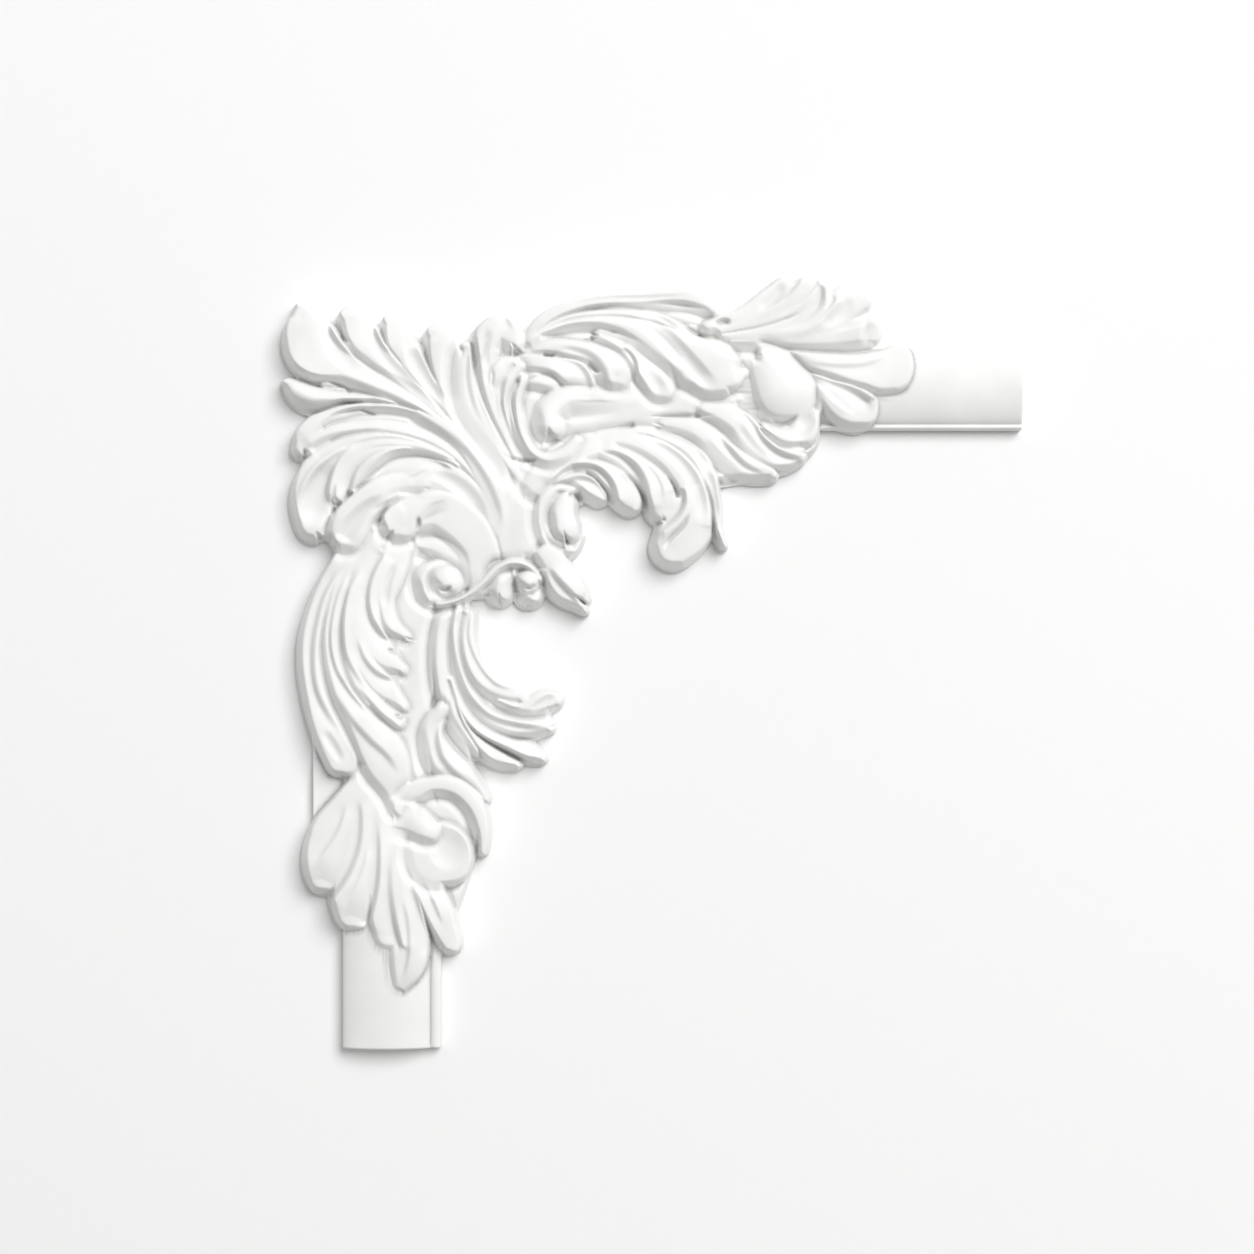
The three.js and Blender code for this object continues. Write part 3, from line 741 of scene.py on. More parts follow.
# The leaves in the order they are laid, lowest first.
LEAVES = (
    Leaf("ground", (
        Lobe(((500, 520, 30, 30), (440, 440, 44, 30), (375, 385, 30, 28), (335, 362, 22, 26))),
        Lobe(((500, 540, 40, 30), (420, 480, 44, 30), (360, 470, 40, 27), (330, 490, 28, 25))),
        Lobe(((520, 430, 40, 33), (600, 390, 52, 33), (680, 370, 50, 30), (760, 365, 44, 27), (840, 360, 34, 27))),
        Lobe(((450, 560, 34, 27), (510, 560, 36, 28), (548, 536, 33, 28))),
        Lobe(((430, 580, 40, 27), (370, 640, 48, 27), (350, 700, 38, 27), (390, 780, 40, 27), (420, 850, 44, 27))),
        Lobe(((560, 450, 24, 30), (650, 460, 28, 28), (740, 450, 34, 27), (790, 435, 30, 27))),
        Lobe(((445, 740, 22, 27), (455, 800, 26, 27), (450, 850, 26, 24), (440, 915, 16, 14))),
        Lobe(((450, 600, 20, 27), (460, 680, 26, 27), (500, 715, 26, 26), (530, 720, 22, 24))),
        Lobe(((440, 432, 18, 30), (385, 424, 16, 28), (335, 432, 14, 24))),
        Lobe(((505, 440, 22, 30), (495, 385, 24, 29), (508, 356, 17, 28))),
        Lobe(((346, 392, 10, 27), (327, 390, 7, 25))),
        Lobe(((470, 560, 24, 28), (405, 540, 24, 28), (352, 562, 20, 26))),
        Lobe(((550, 345, 18, 30), (640, 322, 16, 29), (705, 325, 14, 27), (750, 335, 18, 26))),
        Lobe(((495, 475, 28, 30), (530, 490, 30, 30), (568, 470, 24, 30))),
        Lobe(((560, 412, 20, 36), (610, 405, 26, 35), (660, 402, 26, 33), (720, 398, 24, 31))),
        Lobe(((535, 350, 16, 33), (528, 375, 16, 33), (535, 400, 16, 33))),
        Lobe(((640, 425, 16, 31), (690, 430, 16, 30), (730, 430, 16, 28))),
        Lobe(((320, 438, 14, 27), (320, 470, 18, 27), (335, 500, 18, 27))),
        Lobe(((740, 352, 16, 28), (760, 366, 16, 28), (750, 395, 18, 28))),
        Lobe(((440, 590, 20, 27), (416, 660, 24, 27), (410, 720, 24, 27), (415, 790, 24, 27))),
    )),
    Leaf("tail", (
        Lobe(((368, 775, 12, 31), (348, 808, 19, 33), (331, 840, 25, 34), (325, 864, 24, 33), (324, 876, 20, 30))),
        Lobe(((378, 780, 14, 31), (368, 825, 20, 34), (358, 870, 24, 35), (353, 898, 25, 34), (353, 912, 21, 31))),
        Lobe(((388, 790, 16, 33), (386, 850, 20, 36), (386, 905, 22, 35), (390, 932, 20, 32))),
        Lobe(((400, 800, 18, 34), (406, 860, 19, 37), (410, 930, 23, 36), (408, 960, 21, 34), (401, 981, 12, 30))),
        Lobe(((405, 815, 14, 34), (422, 875, 18, 36), (440, 916, 18, 35), (450, 942, 14, 31))),
    ), creases=(
        Crease(((362, 795, 5, 2), (364, 828, 7, 4), (359, 855, 9, 6), (349, 877, 9, 9),
            (336, 895, 7, 11)), spread=11, root=0.15),
        Crease(((350, 800, 4, 1.5), (341, 828, 5, 3), (326, 852, 5, 3), (313, 868, 4, 2)), spread=8, tip=0.25),
        Crease(((380, 812, 4, 1), (382, 850, 6, 4), (380, 885, 8, 7), (371, 920, 7, 10)), root=0.3),
        Crease(((372, 840, 4, 1.5), (362, 876, 6, 3), (346, 908, 5, 2)), spread=8, root=0.25, tip=0.25),
        Crease(((396, 845, 4, 1), (393, 880, 8, 4), (396, 910, 9, 7), (404, 942, 6, 8)), root=0.3),
        Crease(((408, 850, 4, 1), (413, 875, 8, 4), (421, 900, 9, 7), (430, 928, 7, 9), (434, 944, 5, 9)), root=0.3),
        Crease(((422, 872, 3, 1.5), (434, 895, 5, 3), (446, 924, 4, 2)), spread=7, root=0.25, tip=0.25),
        Crease(((404, 890, 4, 1.5), (411, 925, 6, 3), (410, 958, 5, 3),
            (402, 982, 4, 2)), spread=7, root=0.25, tip=0.25),
    )),
    Leaf("long", (
        Lobe(((352, 545, 8, 32), (323, 600, 13, 33), (311, 650, 15, 33), (317, 700, 16, 33), (332, 740, 19, 34),
            (342, 760, 20, 33))),
        Lobe(((400, 548, 15, 32), (391, 573, 18, 33), (385, 603, 13, 34), (394, 629, 11, 34), (406, 637, 7, 32))),
        Lobe(((390, 560, 14, 33), (372, 600, 18, 34), (374, 640, 18, 34), (388, 662, 14, 34), (402, 670, 8, 32))),
        Lobe(((365, 600, 14, 34), (364, 650, 18, 34), (382, 686, 16, 34), (403, 706, 8, 32))),
        Lobe(((355, 640, 12, 34), (360, 680, 14, 35), (381, 706, 13, 35), (398, 722, 10, 33))),
        Lobe(((380, 535, 10, 32), (355, 595, 12, 34), (350, 640, 12, 35), (358, 680, 12, 35), (371, 704, 10, 34))),
        Lobe(((366, 538, 10, 32), (338, 600, 12, 34), (332, 645, 13, 35), (343, 690, 15, 36), (364, 724, 20, 37),
            (386, 760, 26, 37), (396, 790, 15, 36), (397, 808, 8, 35))),
    ), creases=(
        Crease(((345, 568, 4, 3), (330, 590, 5, 4), (320, 622, 7, 5), (316, 655, 8, 6), (320, 690, 8, 6),
            (333, 717, 8, 5), (350, 738, 6, 3)), spread=11.0, root=0.1, tip=0.25),
        Crease(((352, 572, 4, 2), (343, 590, 4, 3), (336, 615, 5, 4), (334, 645, 5, 5), (340, 670, 6, 5),
            (352, 690, 7, 6), (365, 705, 7, 6), (374, 714, 5, 6)), root=0.1, tip=0.04),
        Crease(((364, 570, 3, 2), (353, 588, 4, 3), (346, 615, 5, 4), (347, 648, 6, 4), (358, 673, 6, 4),
            (373, 692, 4, 2)), root=0.1, tip=0.25),
        Crease(((388, 554, 3, 3), (377, 572, 5, 5), (371, 598, 6, 6), (375, 620, 8, 8), (386, 635, 9, 9),
            (402, 643, 7, 9)), spread=10, root=0.05, tip=0.02),
        Crease(((360, 636, 3, 1), (367, 658, 6, 4), (380, 673, 8, 6), (402, 680, 6, 6)), spread=8, tip=0.02),
        Crease(((360, 685, 4, 2), (377, 706, 7, 4), (389, 721, 8, 6), (403, 733, 6, 7)), spread=8, tip=0.02),
        Crease(((338, 690, 5, 2), (352, 715, 8, 4), (372, 738, 9, 5), (392, 757, 8, 4),
            (403, 776, 5, 2)), spread=12, tip=0.25),
    ), flutes=(
        Flute(((389, 649, 2, 3), (396, 652, 3, 7), (400, 655, 2, 4))),
        Flute(((397, 712, 2, 3), (403, 716, 3.5, 8), (407, 712, 2, 5))),
        Flute(((326, 728, 4, 1), (338, 748, 6, 2), (346, 762, 4, 1))),
        Flute(((400, 560, 4, 1), (390, 585, 5, 2), (388, 610, 5, 1.5))),
    )),
    Leaf("frond", (
        Lobe(((500, 700, 7, 30), (525, 708, 11, 31), (545, 702, 14, 32), (554, 700, 11, 31))),
        Lobe(((470, 615, 9, 32), (469, 650, 13, 33), (482, 678, 14, 33), (505, 692, 14, 33), (520, 697, 11, 32))),
        Lobe(((455, 690, 7, 32), (470, 730, 10, 32), (498, 758, 12, 30), (516, 764, 8, 28))),
        Lobe(((452, 680, 7, 33), (474, 726, 10, 33), (510, 746, 11, 31), (532, 754, 12, 29), (541, 758, 8, 28))),
        Lobe(((458, 606, 6, 33), (455, 650, 9, 34), (465, 690, 10, 34), (487, 717, 11, 33), (520, 729, 12, 32),
            (547, 727, 10, 31))),
        Lobe(((446, 606, 8, 33), (439, 650, 11, 34), (443, 690, 12, 34), (456, 722, 13, 33), (476, 750, 11, 31))),
    ), creases=(
        Crease(((454, 620, 4, 2), (455, 645, 6, 4), (461, 672, 8, 6), (472, 697, 10, 8), (491, 715, 10, 8),
            (516, 723, 9, 8), (550, 727, 6, 5)), spread=12, root=0.1, tip=0.05),
        Crease(((444, 686, 5, 2), (452, 712, 8, 4), (466, 734, 9, 5), (482, 752, 9, 7),
            (500, 765, 8, 8)), spread=10, tip=0.02),
        Crease(((461, 710, 4, 2), (478, 732, 7, 5), (502, 747, 8, 7), (526, 757, 8, 8),
            (543, 764, 6, 7)), spread=10, tip=0.02),
        Crease(((486, 702, 3, 3), (503, 708, 5, 5), (524, 706, 4, 3)), spread=7, tip=0.25),
        Crease(((473, 612, 3, 1.5), (470, 635, 4, 2.5), (479, 662, 4, 2.5), (498, 684, 4, 2.5),
            (522, 690, 3, 1)), spread=8, root=0.1, tip=0.25),
        Crease(((463, 614, 3, 1.5), (463, 645, 4, 2.5), (472, 674, 4, 2.5),
            (490, 696, 3, 1.5)), spread=7, root=0.1, tip=0.25),
        Crease(((522, 740, 3, 3), (535, 744, 5, 6), (547, 745, 5, 8)), spread=7),
    ), flutes=(
        Flute(((437, 620, 5, 1), (433, 655, 6, 1.5), (437, 695, 6, 1.5))),
        Flute(((530, 712, 4, 1), (543, 702, 5, 2.5), (556, 694, 3, 1.5))),
    )),
    Leaf("corner", (
        Lobe(((430, 412, 5, 32), (385, 404, 6, 33), (345, 402, 9, 33), (318, 403, 15, 32), (300, 396, 14, 31),
            (290, 387, 9, 30))),
        Lobe(((455, 432, 9, 35), (400, 396, 14, 35), (350, 373, 17, 34), (312, 347, 31, 33), (306, 325, 17, 32),
            (302, 311, 8, 29))),
        Lobe(((465, 440, 9, 35), (418, 394, 14, 35), (380, 357, 19, 34), (360, 336, 20, 33), (353, 323, 16, 32))),
        Lobe(((482, 458, 10, 36), (442, 402, 14, 35), (409, 360, 18, 34), (397, 340, 18, 33), (394, 328, 14, 32))),
        Lobe(((505, 495, 12, 36), (475, 432, 17, 36), (450, 385, 20, 35), (442, 352, 20, 33), (440, 341, 17, 32))),
        Lobe(((512, 570, 16, 34), (505, 530, 18, 36), (488, 480, 20, 37), (462, 440, 17, 36), (420, 415, 10, 35))),
        Lobe(((500, 545, 9, 35), (482, 490, 10, 34), (447, 452, 10, 34), (400, 434, 10, 33), (360, 432, 11, 32),
            (330, 440, 11, 31), (312, 452, 10, 29))),
        Lobe(((508, 540, 8, 35), (496, 485, 8, 36), (466, 442, 8, 36), (422, 416, 7, 35), (380, 409, 7, 34),
            (345, 412, 9, 34), (318, 425, 11, 33), (305, 440, 12, 31), (300, 452, 10, 29))),
        Lobe(((455, 462, 9, 33), (410, 446, 12, 34), (365, 447, 16, 34), (330, 470, 24, 32), (312, 500, 23, 29),
            (316, 524, 22, 27))),
        Lobe(((440, 455, 8, 34), (400, 450, 9, 34), (365, 458, 11, 34), (344, 478, 12, 33), (339, 498, 9, 31))),
        Lobe(((460, 468, 8, 35), (425, 452, 8, 35), (390, 454, 9, 35), (366, 470, 10, 34), (354, 492, 6, 32))),
        Lobe(((505, 545, 12, 35), (478, 500, 18, 35), (440, 480, 20, 34), (400, 482, 18, 33), (372, 496, 14, 32))),
    ), creases=(
        Crease(((293, 371, 10, 9), (310, 383, 10, 8), (338, 392, 9, 7), (365, 395, 8, 7),
            (386, 400, 5, 5)), spread=13, root=0.0, tip=0.05),
        Crease(((294, 396, 20, 10), (312, 405, 16, 12), (332, 405, 10, 9), (355, 403, 6, 7), (385, 403, 5, 5),
            (415, 409, 4, 3.5), (450, 428, 3, 2)), spread=12, root=0.0, tip=0.25),
        Crease(((338, 316, 7, 7), (334, 332, 8, 9), (343, 348, 7, 7),
            (367, 362, 4, 3)), spread=10, root=0.0, tip=0.2),
        Crease(((383, 318, 5, 6), (378, 332, 7, 8), (384, 346, 6, 6), (395, 359, 4, 3)), root=0.0, tip=0.2),
        Crease(((426, 330, 4, 5), (421, 341, 5, 7), (421, 353, 4, 4)), spread=8, root=0.0, tip=0.3),
        Crease(((330, 426, 4, 1), (350, 420, 8, 3), (380, 415, 9, 4), (412, 419, 9, 4), (442, 432, 9, 4),
            (470, 455, 9, 4), (490, 484, 9, 4), (503, 518, 8, 3), (507, 542, 5, 1)), spread=13, root=0.15, tip=0.15),
        Crease(((310, 452, 6, 5), (318, 446, 8, 6), (332, 439, 8, 5), (352, 434, 5, 3),
            (392, 431, 3, 1.5)), root=0.1, tip=0.25),
        Crease(((350, 447, 3, 1.5), (378, 440, 4, 2), (405, 440, 4, 2), (432, 448, 3, 1)), spread=8, tip=0.25),
        Crease(((360, 444, 3, 2), (342, 461, 4, 4), (333, 480, 5, 7), (331, 496, 6, 9), (341, 513, 5, 9)), tip=0.1),
        Crease(((404, 448, 3, 1), (374, 458, 5, 3), (358, 474, 6, 5), (350, 490, 5, 5),
            (348, 502, 4, 4)), spread=8, tip=0.2),
        Crease(((372, 484, 4, 3), (384, 470, 7, 7), (402, 461, 8, 9), (425, 458, 8, 9), (442, 463, 7, 9),
            (456, 472, 5, 7)), spread=10, tip=0.02),
        Crease(((409, 480, 3, 1), (420, 475, 3, 2), (430, 468, 3, 1)), spread=6, tip=0.25),
    ), flutes=(
        Flute(((326, 342, 6, 1.5), (345, 362, 9, 3), (385, 380, 9, 3), (425, 402, 8, 2.5), (452, 426, 7, 1.5))),
        Flute(((371, 333, 4, 1), (382, 354, 6, 2), (404, 378, 7, 2), (432, 404, 5, 1))),
        Flute(((411, 338, 5, 1.5), (415, 358, 8, 3.5), (430, 385, 8, 3.5), (452, 414, 6, 2))),
        Flute(((453, 345, 6, 2), (451, 375, 9, 2.5), (458, 412, 8, 2))),
        Flute(((359, 446, 3, -1), (333, 458, 4, -2.5), (317, 472, 4, -3), (307, 487, 4, -2.5), (301, 505, 4, -1))),
        Flute(((338, 464, 8, 2), (322, 484, 14, 4), (317, 507, 16, 5), (322, 528, 13, 4))),
        Flute(((377, 482, 2, 2), (367, 487, 4, 5), (357, 493, 3, 5))),
        Flute(((366, 501, 2, 3), (357, 502, 4, 6), (350, 504, 3, 5))),
        Flute(((425, 476, 4, 1), (450, 481, 8, 2.5), (473, 500, 9, 3), (487, 532, 7, 2))),
    )),
    Leaf("web", (
        Lobe(((530, 476, 14, 34), (524, 505, 18, 35), (521, 545, 18, 35))),
    ), edge=8.0, press=0.0),
    Leaf("fan", (
        Lobe(((600, 438, 6, 30), (660, 440, 9, 31), (698, 466, 12, 31), (712, 500, 10, 31), (716, 530, 8, 30),
            (722, 547, 6, 29))),
        Lobe(((580, 446, 8, 31), (640, 446, 15, 33), (676, 468, 19, 34), (692, 500, 22, 34), (684, 530, 29, 34),
            (672, 549, 24, 32))),
        Lobe(((570, 455, 8, 33), (612, 456, 14, 34), (642, 476, 18, 34), (660, 498, 20, 33), (662, 510, 19, 31))),
        Lobe(((560, 466, 7, 34), (592, 470, 12, 35), (614, 484, 18, 34), (628, 502, 16, 32), (630, 507, 12, 31))),
        Lobe(((552, 486, 5, 35), (572, 482, 9, 35), (590, 489, 15, 33), (598, 496, 13, 31))),
        Lobe(((535, 490, 14, 35), (565, 460, 18, 34), (610, 448, 14, 33))),
    ), creases=(
        Crease(((548, 490, 3, 4), (560, 475, 5, 8), (578, 467, 7, 10), (598, 470, 8, 12), (611, 483, 9, 12),
            (617, 502, 8, 12)), root=0.1),
        Crease(((558, 492, 3, 3), (570, 481, 6, 6), (588, 480, 9, 8), (602, 488, 9, 8), (608, 502, 5, 6)), root=0.15),
        Crease(((600, 453, 3, 3), (618, 456, 6, 7), (634, 467, 10, 12), (644, 484, 11, 12),
            (648, 506, 8, 11)), spread=10, root=0.15),
        Crease(((640, 462, 3, 1), (654, 474, 4, 2), (662, 490, 4, 2), (660, 508, 3, 1)), spread=6, tip=0.25),
        Crease(((682, 489, 4, 6), (684, 503, 6, 8), (678, 517, 8, 9), (662, 531, 7, 10)), root=0.05),
        Crease(((712, 526, 3, 5), (710, 540, 5, 9), (708, 552, 4, 9)), spread=7),
        Crease(((585, 459, 3, 1.5), (606, 463, 4, 2), (622, 476, 4, 2), (632, 494, 4, 1.5)), spread=7, tip=0.25),
    ), flutes=(
        Flute(((643, 443, 4, 1.5), (668, 454, 6, 3), (688, 474, 7, 4), (699, 500, 7, 4), (700, 527, 5, 2))),
        Flute(((690, 449, 4, 1), (706, 474, 6, 3), (713, 503, 6, 3), (716, 530, 4, 2))),
        Flute(((690, 512, 2, 1), (682, 527, 3, 4), (668, 542, 3, 4), (663, 552, 2, 1))),
    )),
    Leaf("curl", (
        Lobe(((580, 500, 6, 34), (560, 492, 7, 35), (544, 505, 8, 36), (541, 528, 8, 36), (553, 549, 9, 35),
            (570, 551, 9, 34), (580, 538, 6, 33)), root=0.15),
    ), edge=5.0),
    Leaf("curl_ball", (
        Lobe(((566, 506, 13, 38), (563, 516, 16, 40), (564, 530, 19, 42)), fall=0.18),
    ), edge=8.0),
    Leaf("arm_low", (
        Lobe(((526, 384, 9, 36), (544, 386, 10, 37), (553, 390, 9, 36))),
        Lobe(((526, 366, 12, 36), (558, 371, 13, 37), (576, 380, 17, 37), (582, 386, 14, 36))),
        Lobe(((526, 350, 12, 36), (565, 353, 12, 38), (596, 361, 14, 38), (614, 376, 18, 37), (616, 378, 16, 36))),
        Lobe(((600, 340, 8, 36), (625, 352, 12, 38), (650, 374, 19, 37), (659, 390, 17, 35))),
    ), creases=(
        Crease(((552, 352, 4, 1), (574, 352, 8, 4), (592, 359, 12, 7), (603, 372, 12, 8),
            (608, 390, 9, 8)), root=0.3),
        Crease(((545, 363, 4, 1), (562, 361, 7, 4), (578, 366, 10, 6), (588, 378, 10, 7),
            (592, 396, 6, 5)), spread=8, root=0.3),
        Crease(((527, 386, 3, 2), (540, 377, 4, 5), (552, 376, 4, 6), (560, 383, 4, 6),
            (567, 394, 3, 4)), spread=7, root=0.15),
        Crease(((634, 383, 3, 4), (642, 391, 4, 5), (650, 400, 3, 3)), spread=7, root=0.0, tip=0.1),
        Crease(((622, 350, 4, 4), (632, 358, 5, 7), (637, 372, 5, 8), (634, 388, 4, 8)), spread=7, root=0.1),
    ), flutes=(
        Flute(((622, 348, 5, 1), (643, 366, 9, 3), (656, 386, 9, 3), (661, 402, 6, 1))),
        Flute(((587, 365, 3, 4), (594, 371, 3.5, 8), (600, 377, 3, 4))),
    ), edge=5.0),
    Leaf("arm", (
        Lobe(((525, 345, 7, 33), (545, 325, 11, 34), (580, 311, 11, 34), (640, 305, 12, 34), (690, 303, 13, 33),
            (708, 312, 10, 31))),
        Lobe(((530, 346, 6, 35), (560, 325, 9, 36), (605, 318, 10, 36), (655, 325, 10, 35), (690, 340, 8, 34))),
        Lobe(((530, 344, 5, 37), (570, 328, 8, 38), (620, 328, 14, 39), (660, 344, 22, 40), (695, 364, 29, 40),
            (710, 373, 31, 38))),
        Lobe(((690, 374, 20, 38), (722, 382, 17, 38), (741, 376, 7, 37))),
    ), creases=(
        Crease(((533, 339, 3, 2), (565, 318, 4, 2), (605, 309, 5, 2.5), (640, 312, 5, 3), (662, 320, 7, 4),
            (682, 333, 5, 4)), root=0.1, tip=0.1),
        Crease(((560, 309, 3, 1), (600, 301, 4, 1.5), (650, 300, 4, 1.5), (695, 297, 3, 1)), spread=7, tip=0.25),
    ), flutes=(
        Flute(((638, 318, 5, 1.5), (660, 335, 8, 3), (682, 358, 9, 4), (702, 380, 9, 4), (718, 393, 6, 2))),
        Flute(((600, 321, 4, 1), (640, 328, 6, 2), (668, 352, 7, 2), (688, 378, 6, 1.5))),
        Flute(((683, 321, 3, 7), (690, 331, 5, 12), (702, 337, 5, 13), (715, 337, 4, 11)), root=0.05, tip=0.05),
    )),
    Leaf("upright", (
        Lobe(((522, 488, 10, 33), (492, 440, 16, 34), (473, 405, 18, 34), (466, 372, 14, 34),
            (467, 352, 10, 33)), root=0.15),
        Lobe(((514, 458, 10, 35), (492, 408, 14, 36), (484, 370, 15, 37), (489, 343, 19, 37), (502, 335, 20, 36),
            (512, 346, 14, 35)), root=0.2),
        Lobe(((514, 450, 9, 36), (498, 412, 9, 37), (495, 388, 10, 37), (503, 371, 12, 37),
            (514, 366, 8, 36)), root=0.3),
        Lobe(((524, 460, 9, 36), (510, 428, 9, 37), (505, 402, 9, 38), (512, 380, 9, 38),
            (520, 370, 7, 37)), root=0.3),
        Lobe(((530, 452, 8, 36), (520, 424, 8, 38), (517, 405, 7, 38), (521, 388, 7, 38),
            (523, 380, 6, 37)), root=0.3),
    ), creases=(
        Crease(((489, 348, 5, 2), (482, 368, 8, 4), (483, 395, 10, 5), (492, 420, 10, 4),
            (506, 443, 8, 2)), root=0.15, tip=0.4),
        Crease(((503, 384, 4, 2), (500, 402, 7, 4), (506, 422, 8, 4),
            (516, 443, 7, 2)), spread=8, root=0.15, tip=0.4),
        Crease(((516, 388, 4, 2), (511, 405, 7, 4), (515, 428, 9, 4),
            (526, 450, 7, 2)), spread=8, root=0.15, tip=0.4),
        Crease(((505, 318, 7, 1), (511, 327, 8, 3), (512, 337, 6, 1)), spread=8, tip=0.5),
        Crease(((505, 362, 5, 2), (496, 367, 6, 4), (492, 378, 6, 4), (492, 391, 4, 1)), spread=8, tip=0.3),
        Crease(((474, 345, 4, 2), (470, 370, 6, 3), (474, 400, 6, 3), (490, 436, 5, 1)), spread=8, root=0.1, tip=0.4),
    ), flutes=(
        Flute(((492, 330, 5, 1.5), (486, 350, 6, 2), (489, 375, 4, 1))),
    ), edge=8.0),
    Leaf("bowl", (
        Lobe(((523, 384, 5, 38), (517, 402, 6, 38), (518, 422, 7, 38), (524, 442, 8, 38), (534, 457, 8, 38),
            (549, 463, 9, 38), (565, 457, 9, 38), (577, 443, 6, 37)), root=0.1),
    )),
    Leaf("bowl_ball", (
        Lobe(((622, 404, 10, 33), (590, 403, 15, 35), (564, 405, 17, 38), (550, 416, 17, 41),
            (549, 429, 18, 43)), fall=0.22, root=0.6),
    ), edge=9.0),
    Leaf("crown", (
        Lobe(((730, 345, 9, 30), (790, 343, 14, 32), (838, 338, 18, 33), (864, 335, 18, 31))),
        Lobe(((725, 342, 9, 31), (790, 336, 15, 33), (832, 320, 19, 34), (856, 305, 15, 33))),
        Lobe(((722, 340, 9, 32), (780, 333, 14, 34), (820, 318, 18, 34), (843, 302, 16, 33))),
        Lobe(((720, 336, 9, 33), (765, 324, 13, 34), (796, 308, 16, 34), (815, 294, 14, 33))),
        Lobe(((718, 334, 9, 33), (760, 320, 13, 34), (786, 304, 15, 34), (803, 290, 12, 33))),
        Lobe(((708, 332, 10, 33), (745, 318, 12, 33), (768, 302, 13, 33), (782, 290, 12, 32))),
    ), creases=(
        Crease(((798, 284, 4, 5), (788, 298, 6, 4), (770, 310, 6, 3), (748, 318, 4, 1)), root=0.0, tip=0.5),
        Crease(((816, 287, 4, 3), (803, 303, 5, 3), (785, 316, 5, 2), (762, 326, 4, 1)), spread=8, root=0.0, tip=0.5),
        Crease(((821, 292, 6, 6), (820, 308, 10, 8), (806, 324, 10, 6), (782, 334, 7, 3),
            (760, 338, 5, 1)), root=0.0, tip=0.5),
        Crease(((833, 304, 5, 6), (822, 318, 7, 5), (805, 331, 7, 3), (776, 339, 5, 1)), spread=8, root=0.0, tip=0.5),
        Crease(((868, 322, 5, 5), (852, 329, 6, 4), (828, 337, 5, 2)), spread=8, root=0.0, tip=0.5),
        Crease(((860, 352, 8, 2), (861, 337, 10, 5), (863, 322, 8, 2)), spread=10, root=0.3, tip=0.3),
    ), flutes=(
        Flute(((783, 286, 5, 1.5), (774, 300, 7, 2), (756, 313, 5, 1))),
        Flute(((850, 300, 6, 1), (838, 316, 9, 2), (816, 328, 6, 1))),
        Flute(((713, 328, 3, 4), (722, 325, 4, 6), (730, 326, 3, 5))),
    )),
    Leaf("bands", (
        Lobe(((665, 428, 8, 29), (698, 436, 13, 30), (720, 456, 15, 30), (745, 470, 15, 29), (768, 475, 11, 28))),
        Lobe(((705, 414, 10, 31), (736, 426, 16, 32), (755, 448, 16, 32), (778, 462, 15, 31), (794, 458, 12, 30))),
        Lobe(((792, 372, 9, 35), (802, 392, 15, 35), (802, 416, 18, 35), (797, 436, 17, 35), (782, 440, 13, 34),
            (762, 430, 7, 33))),
    ), creases=(
        Crease(((683, 425, 3, 2), (700, 421, 5, 4), (716, 430, 7, 6), (728, 449, 8, 7), (744, 466, 8, 6),
            (767, 476, 5, 3)), tip=0.1),
        Crease(((722, 408, 3, 2), (738, 411, 4, 3), (752, 424, 6, 5), (764, 443, 8, 8), (782, 456, 8, 9),
            (804, 460, 5, 6)), tip=0.1),
    ), flutes=(
        Flute(((700, 440, 6, 1.5), (718, 462, 8, 2), (742, 478, 6, 1))),
        Flute(((735, 424, 5, 1.5), (748, 446, 7, 2), (768, 464, 5, 1))),
        Flute(((800, 388, 5, 1.5), (806, 410, 9, 3.5), (800, 434, 8, 2.5), (780, 440, 5, 1))),
    )),
    Leaf("paddles", (
        Lobe(((790, 372, 10, 34), (825, 396, 18, 34), (848, 409, 25, 34), (854, 411, 24, 32))),
        Lobe(((765, 360, 10, 36), (825, 370, 15, 36), (864, 376, 21, 36), (886, 375, 25, 36), (895, 362, 17, 35))),
    ), creases=(
        Crease(((806, 376, 4, 2), (828, 383, 7, 5), (848, 391, 10, 8), (866, 402, 8, 9)), spread=10),
        Crease(((800, 364, 4, 1), (835, 369, 6, 2), (868, 366, 6, 2), (888, 356, 4, 1)), tip=0.25),
        Crease(((852, 418, 3, 2), (836, 406, 6, 4), (820, 391, 6, 4), (802, 379, 3, 2)), tip=0.25),
    )),
    Leaf("shell", (
        Lobe(((752, 358, 16, 33), (768, 374, 28, 36), (781, 395, 35, 39)), fall=0.35, root=0.3),
    ), flutes=(
        Flute(((768, 419, 2, 4), (783, 426, 4, 8), (797, 416, 2, 5))),
    ), edge=7.0),
    Leaf("foot_lobe", (
        Lobe(((443, 708, 8, 33), (432, 735, 14, 34), (441, 760, 19, 35), (465, 780, 17, 35), (485, 798, 8, 33))),
    ), creases=(
        Crease(((449, 714, 3, 1), (440, 732, 7, 5), (443, 754, 9, 6), (458, 773, 9, 6), (476, 788, 6, 5),
            (490, 806, 4, 3)), spread=10, root=0.1, tip=0.25),
    ), edge=8.0),
    Leaf("foot_band", (
        Lobe(((398, 806, 12, 33), (416, 792, 13, 34), (434, 786, 12, 35), (456, 788, 13, 36), (474, 804, 13, 36),
            (482, 830, 11, 35), (482, 850, 8, 33)), root=0.1),
    ), flutes=(
        Flute(((440, 795, 5, 1.5), (458, 800, 6, 2.5), (471, 816, 6, 2.5), (476, 838, 4, 1.5))),
    )),
    Leaf("foot_disc", (
        Lobe(((441, 854, 35, 35),), fall=0.0),
    ), flutes=(
        Flute(((452, 845, 20, 3), (450, 848, 20, 3)), root=0.0, tip=0.0),
    )),
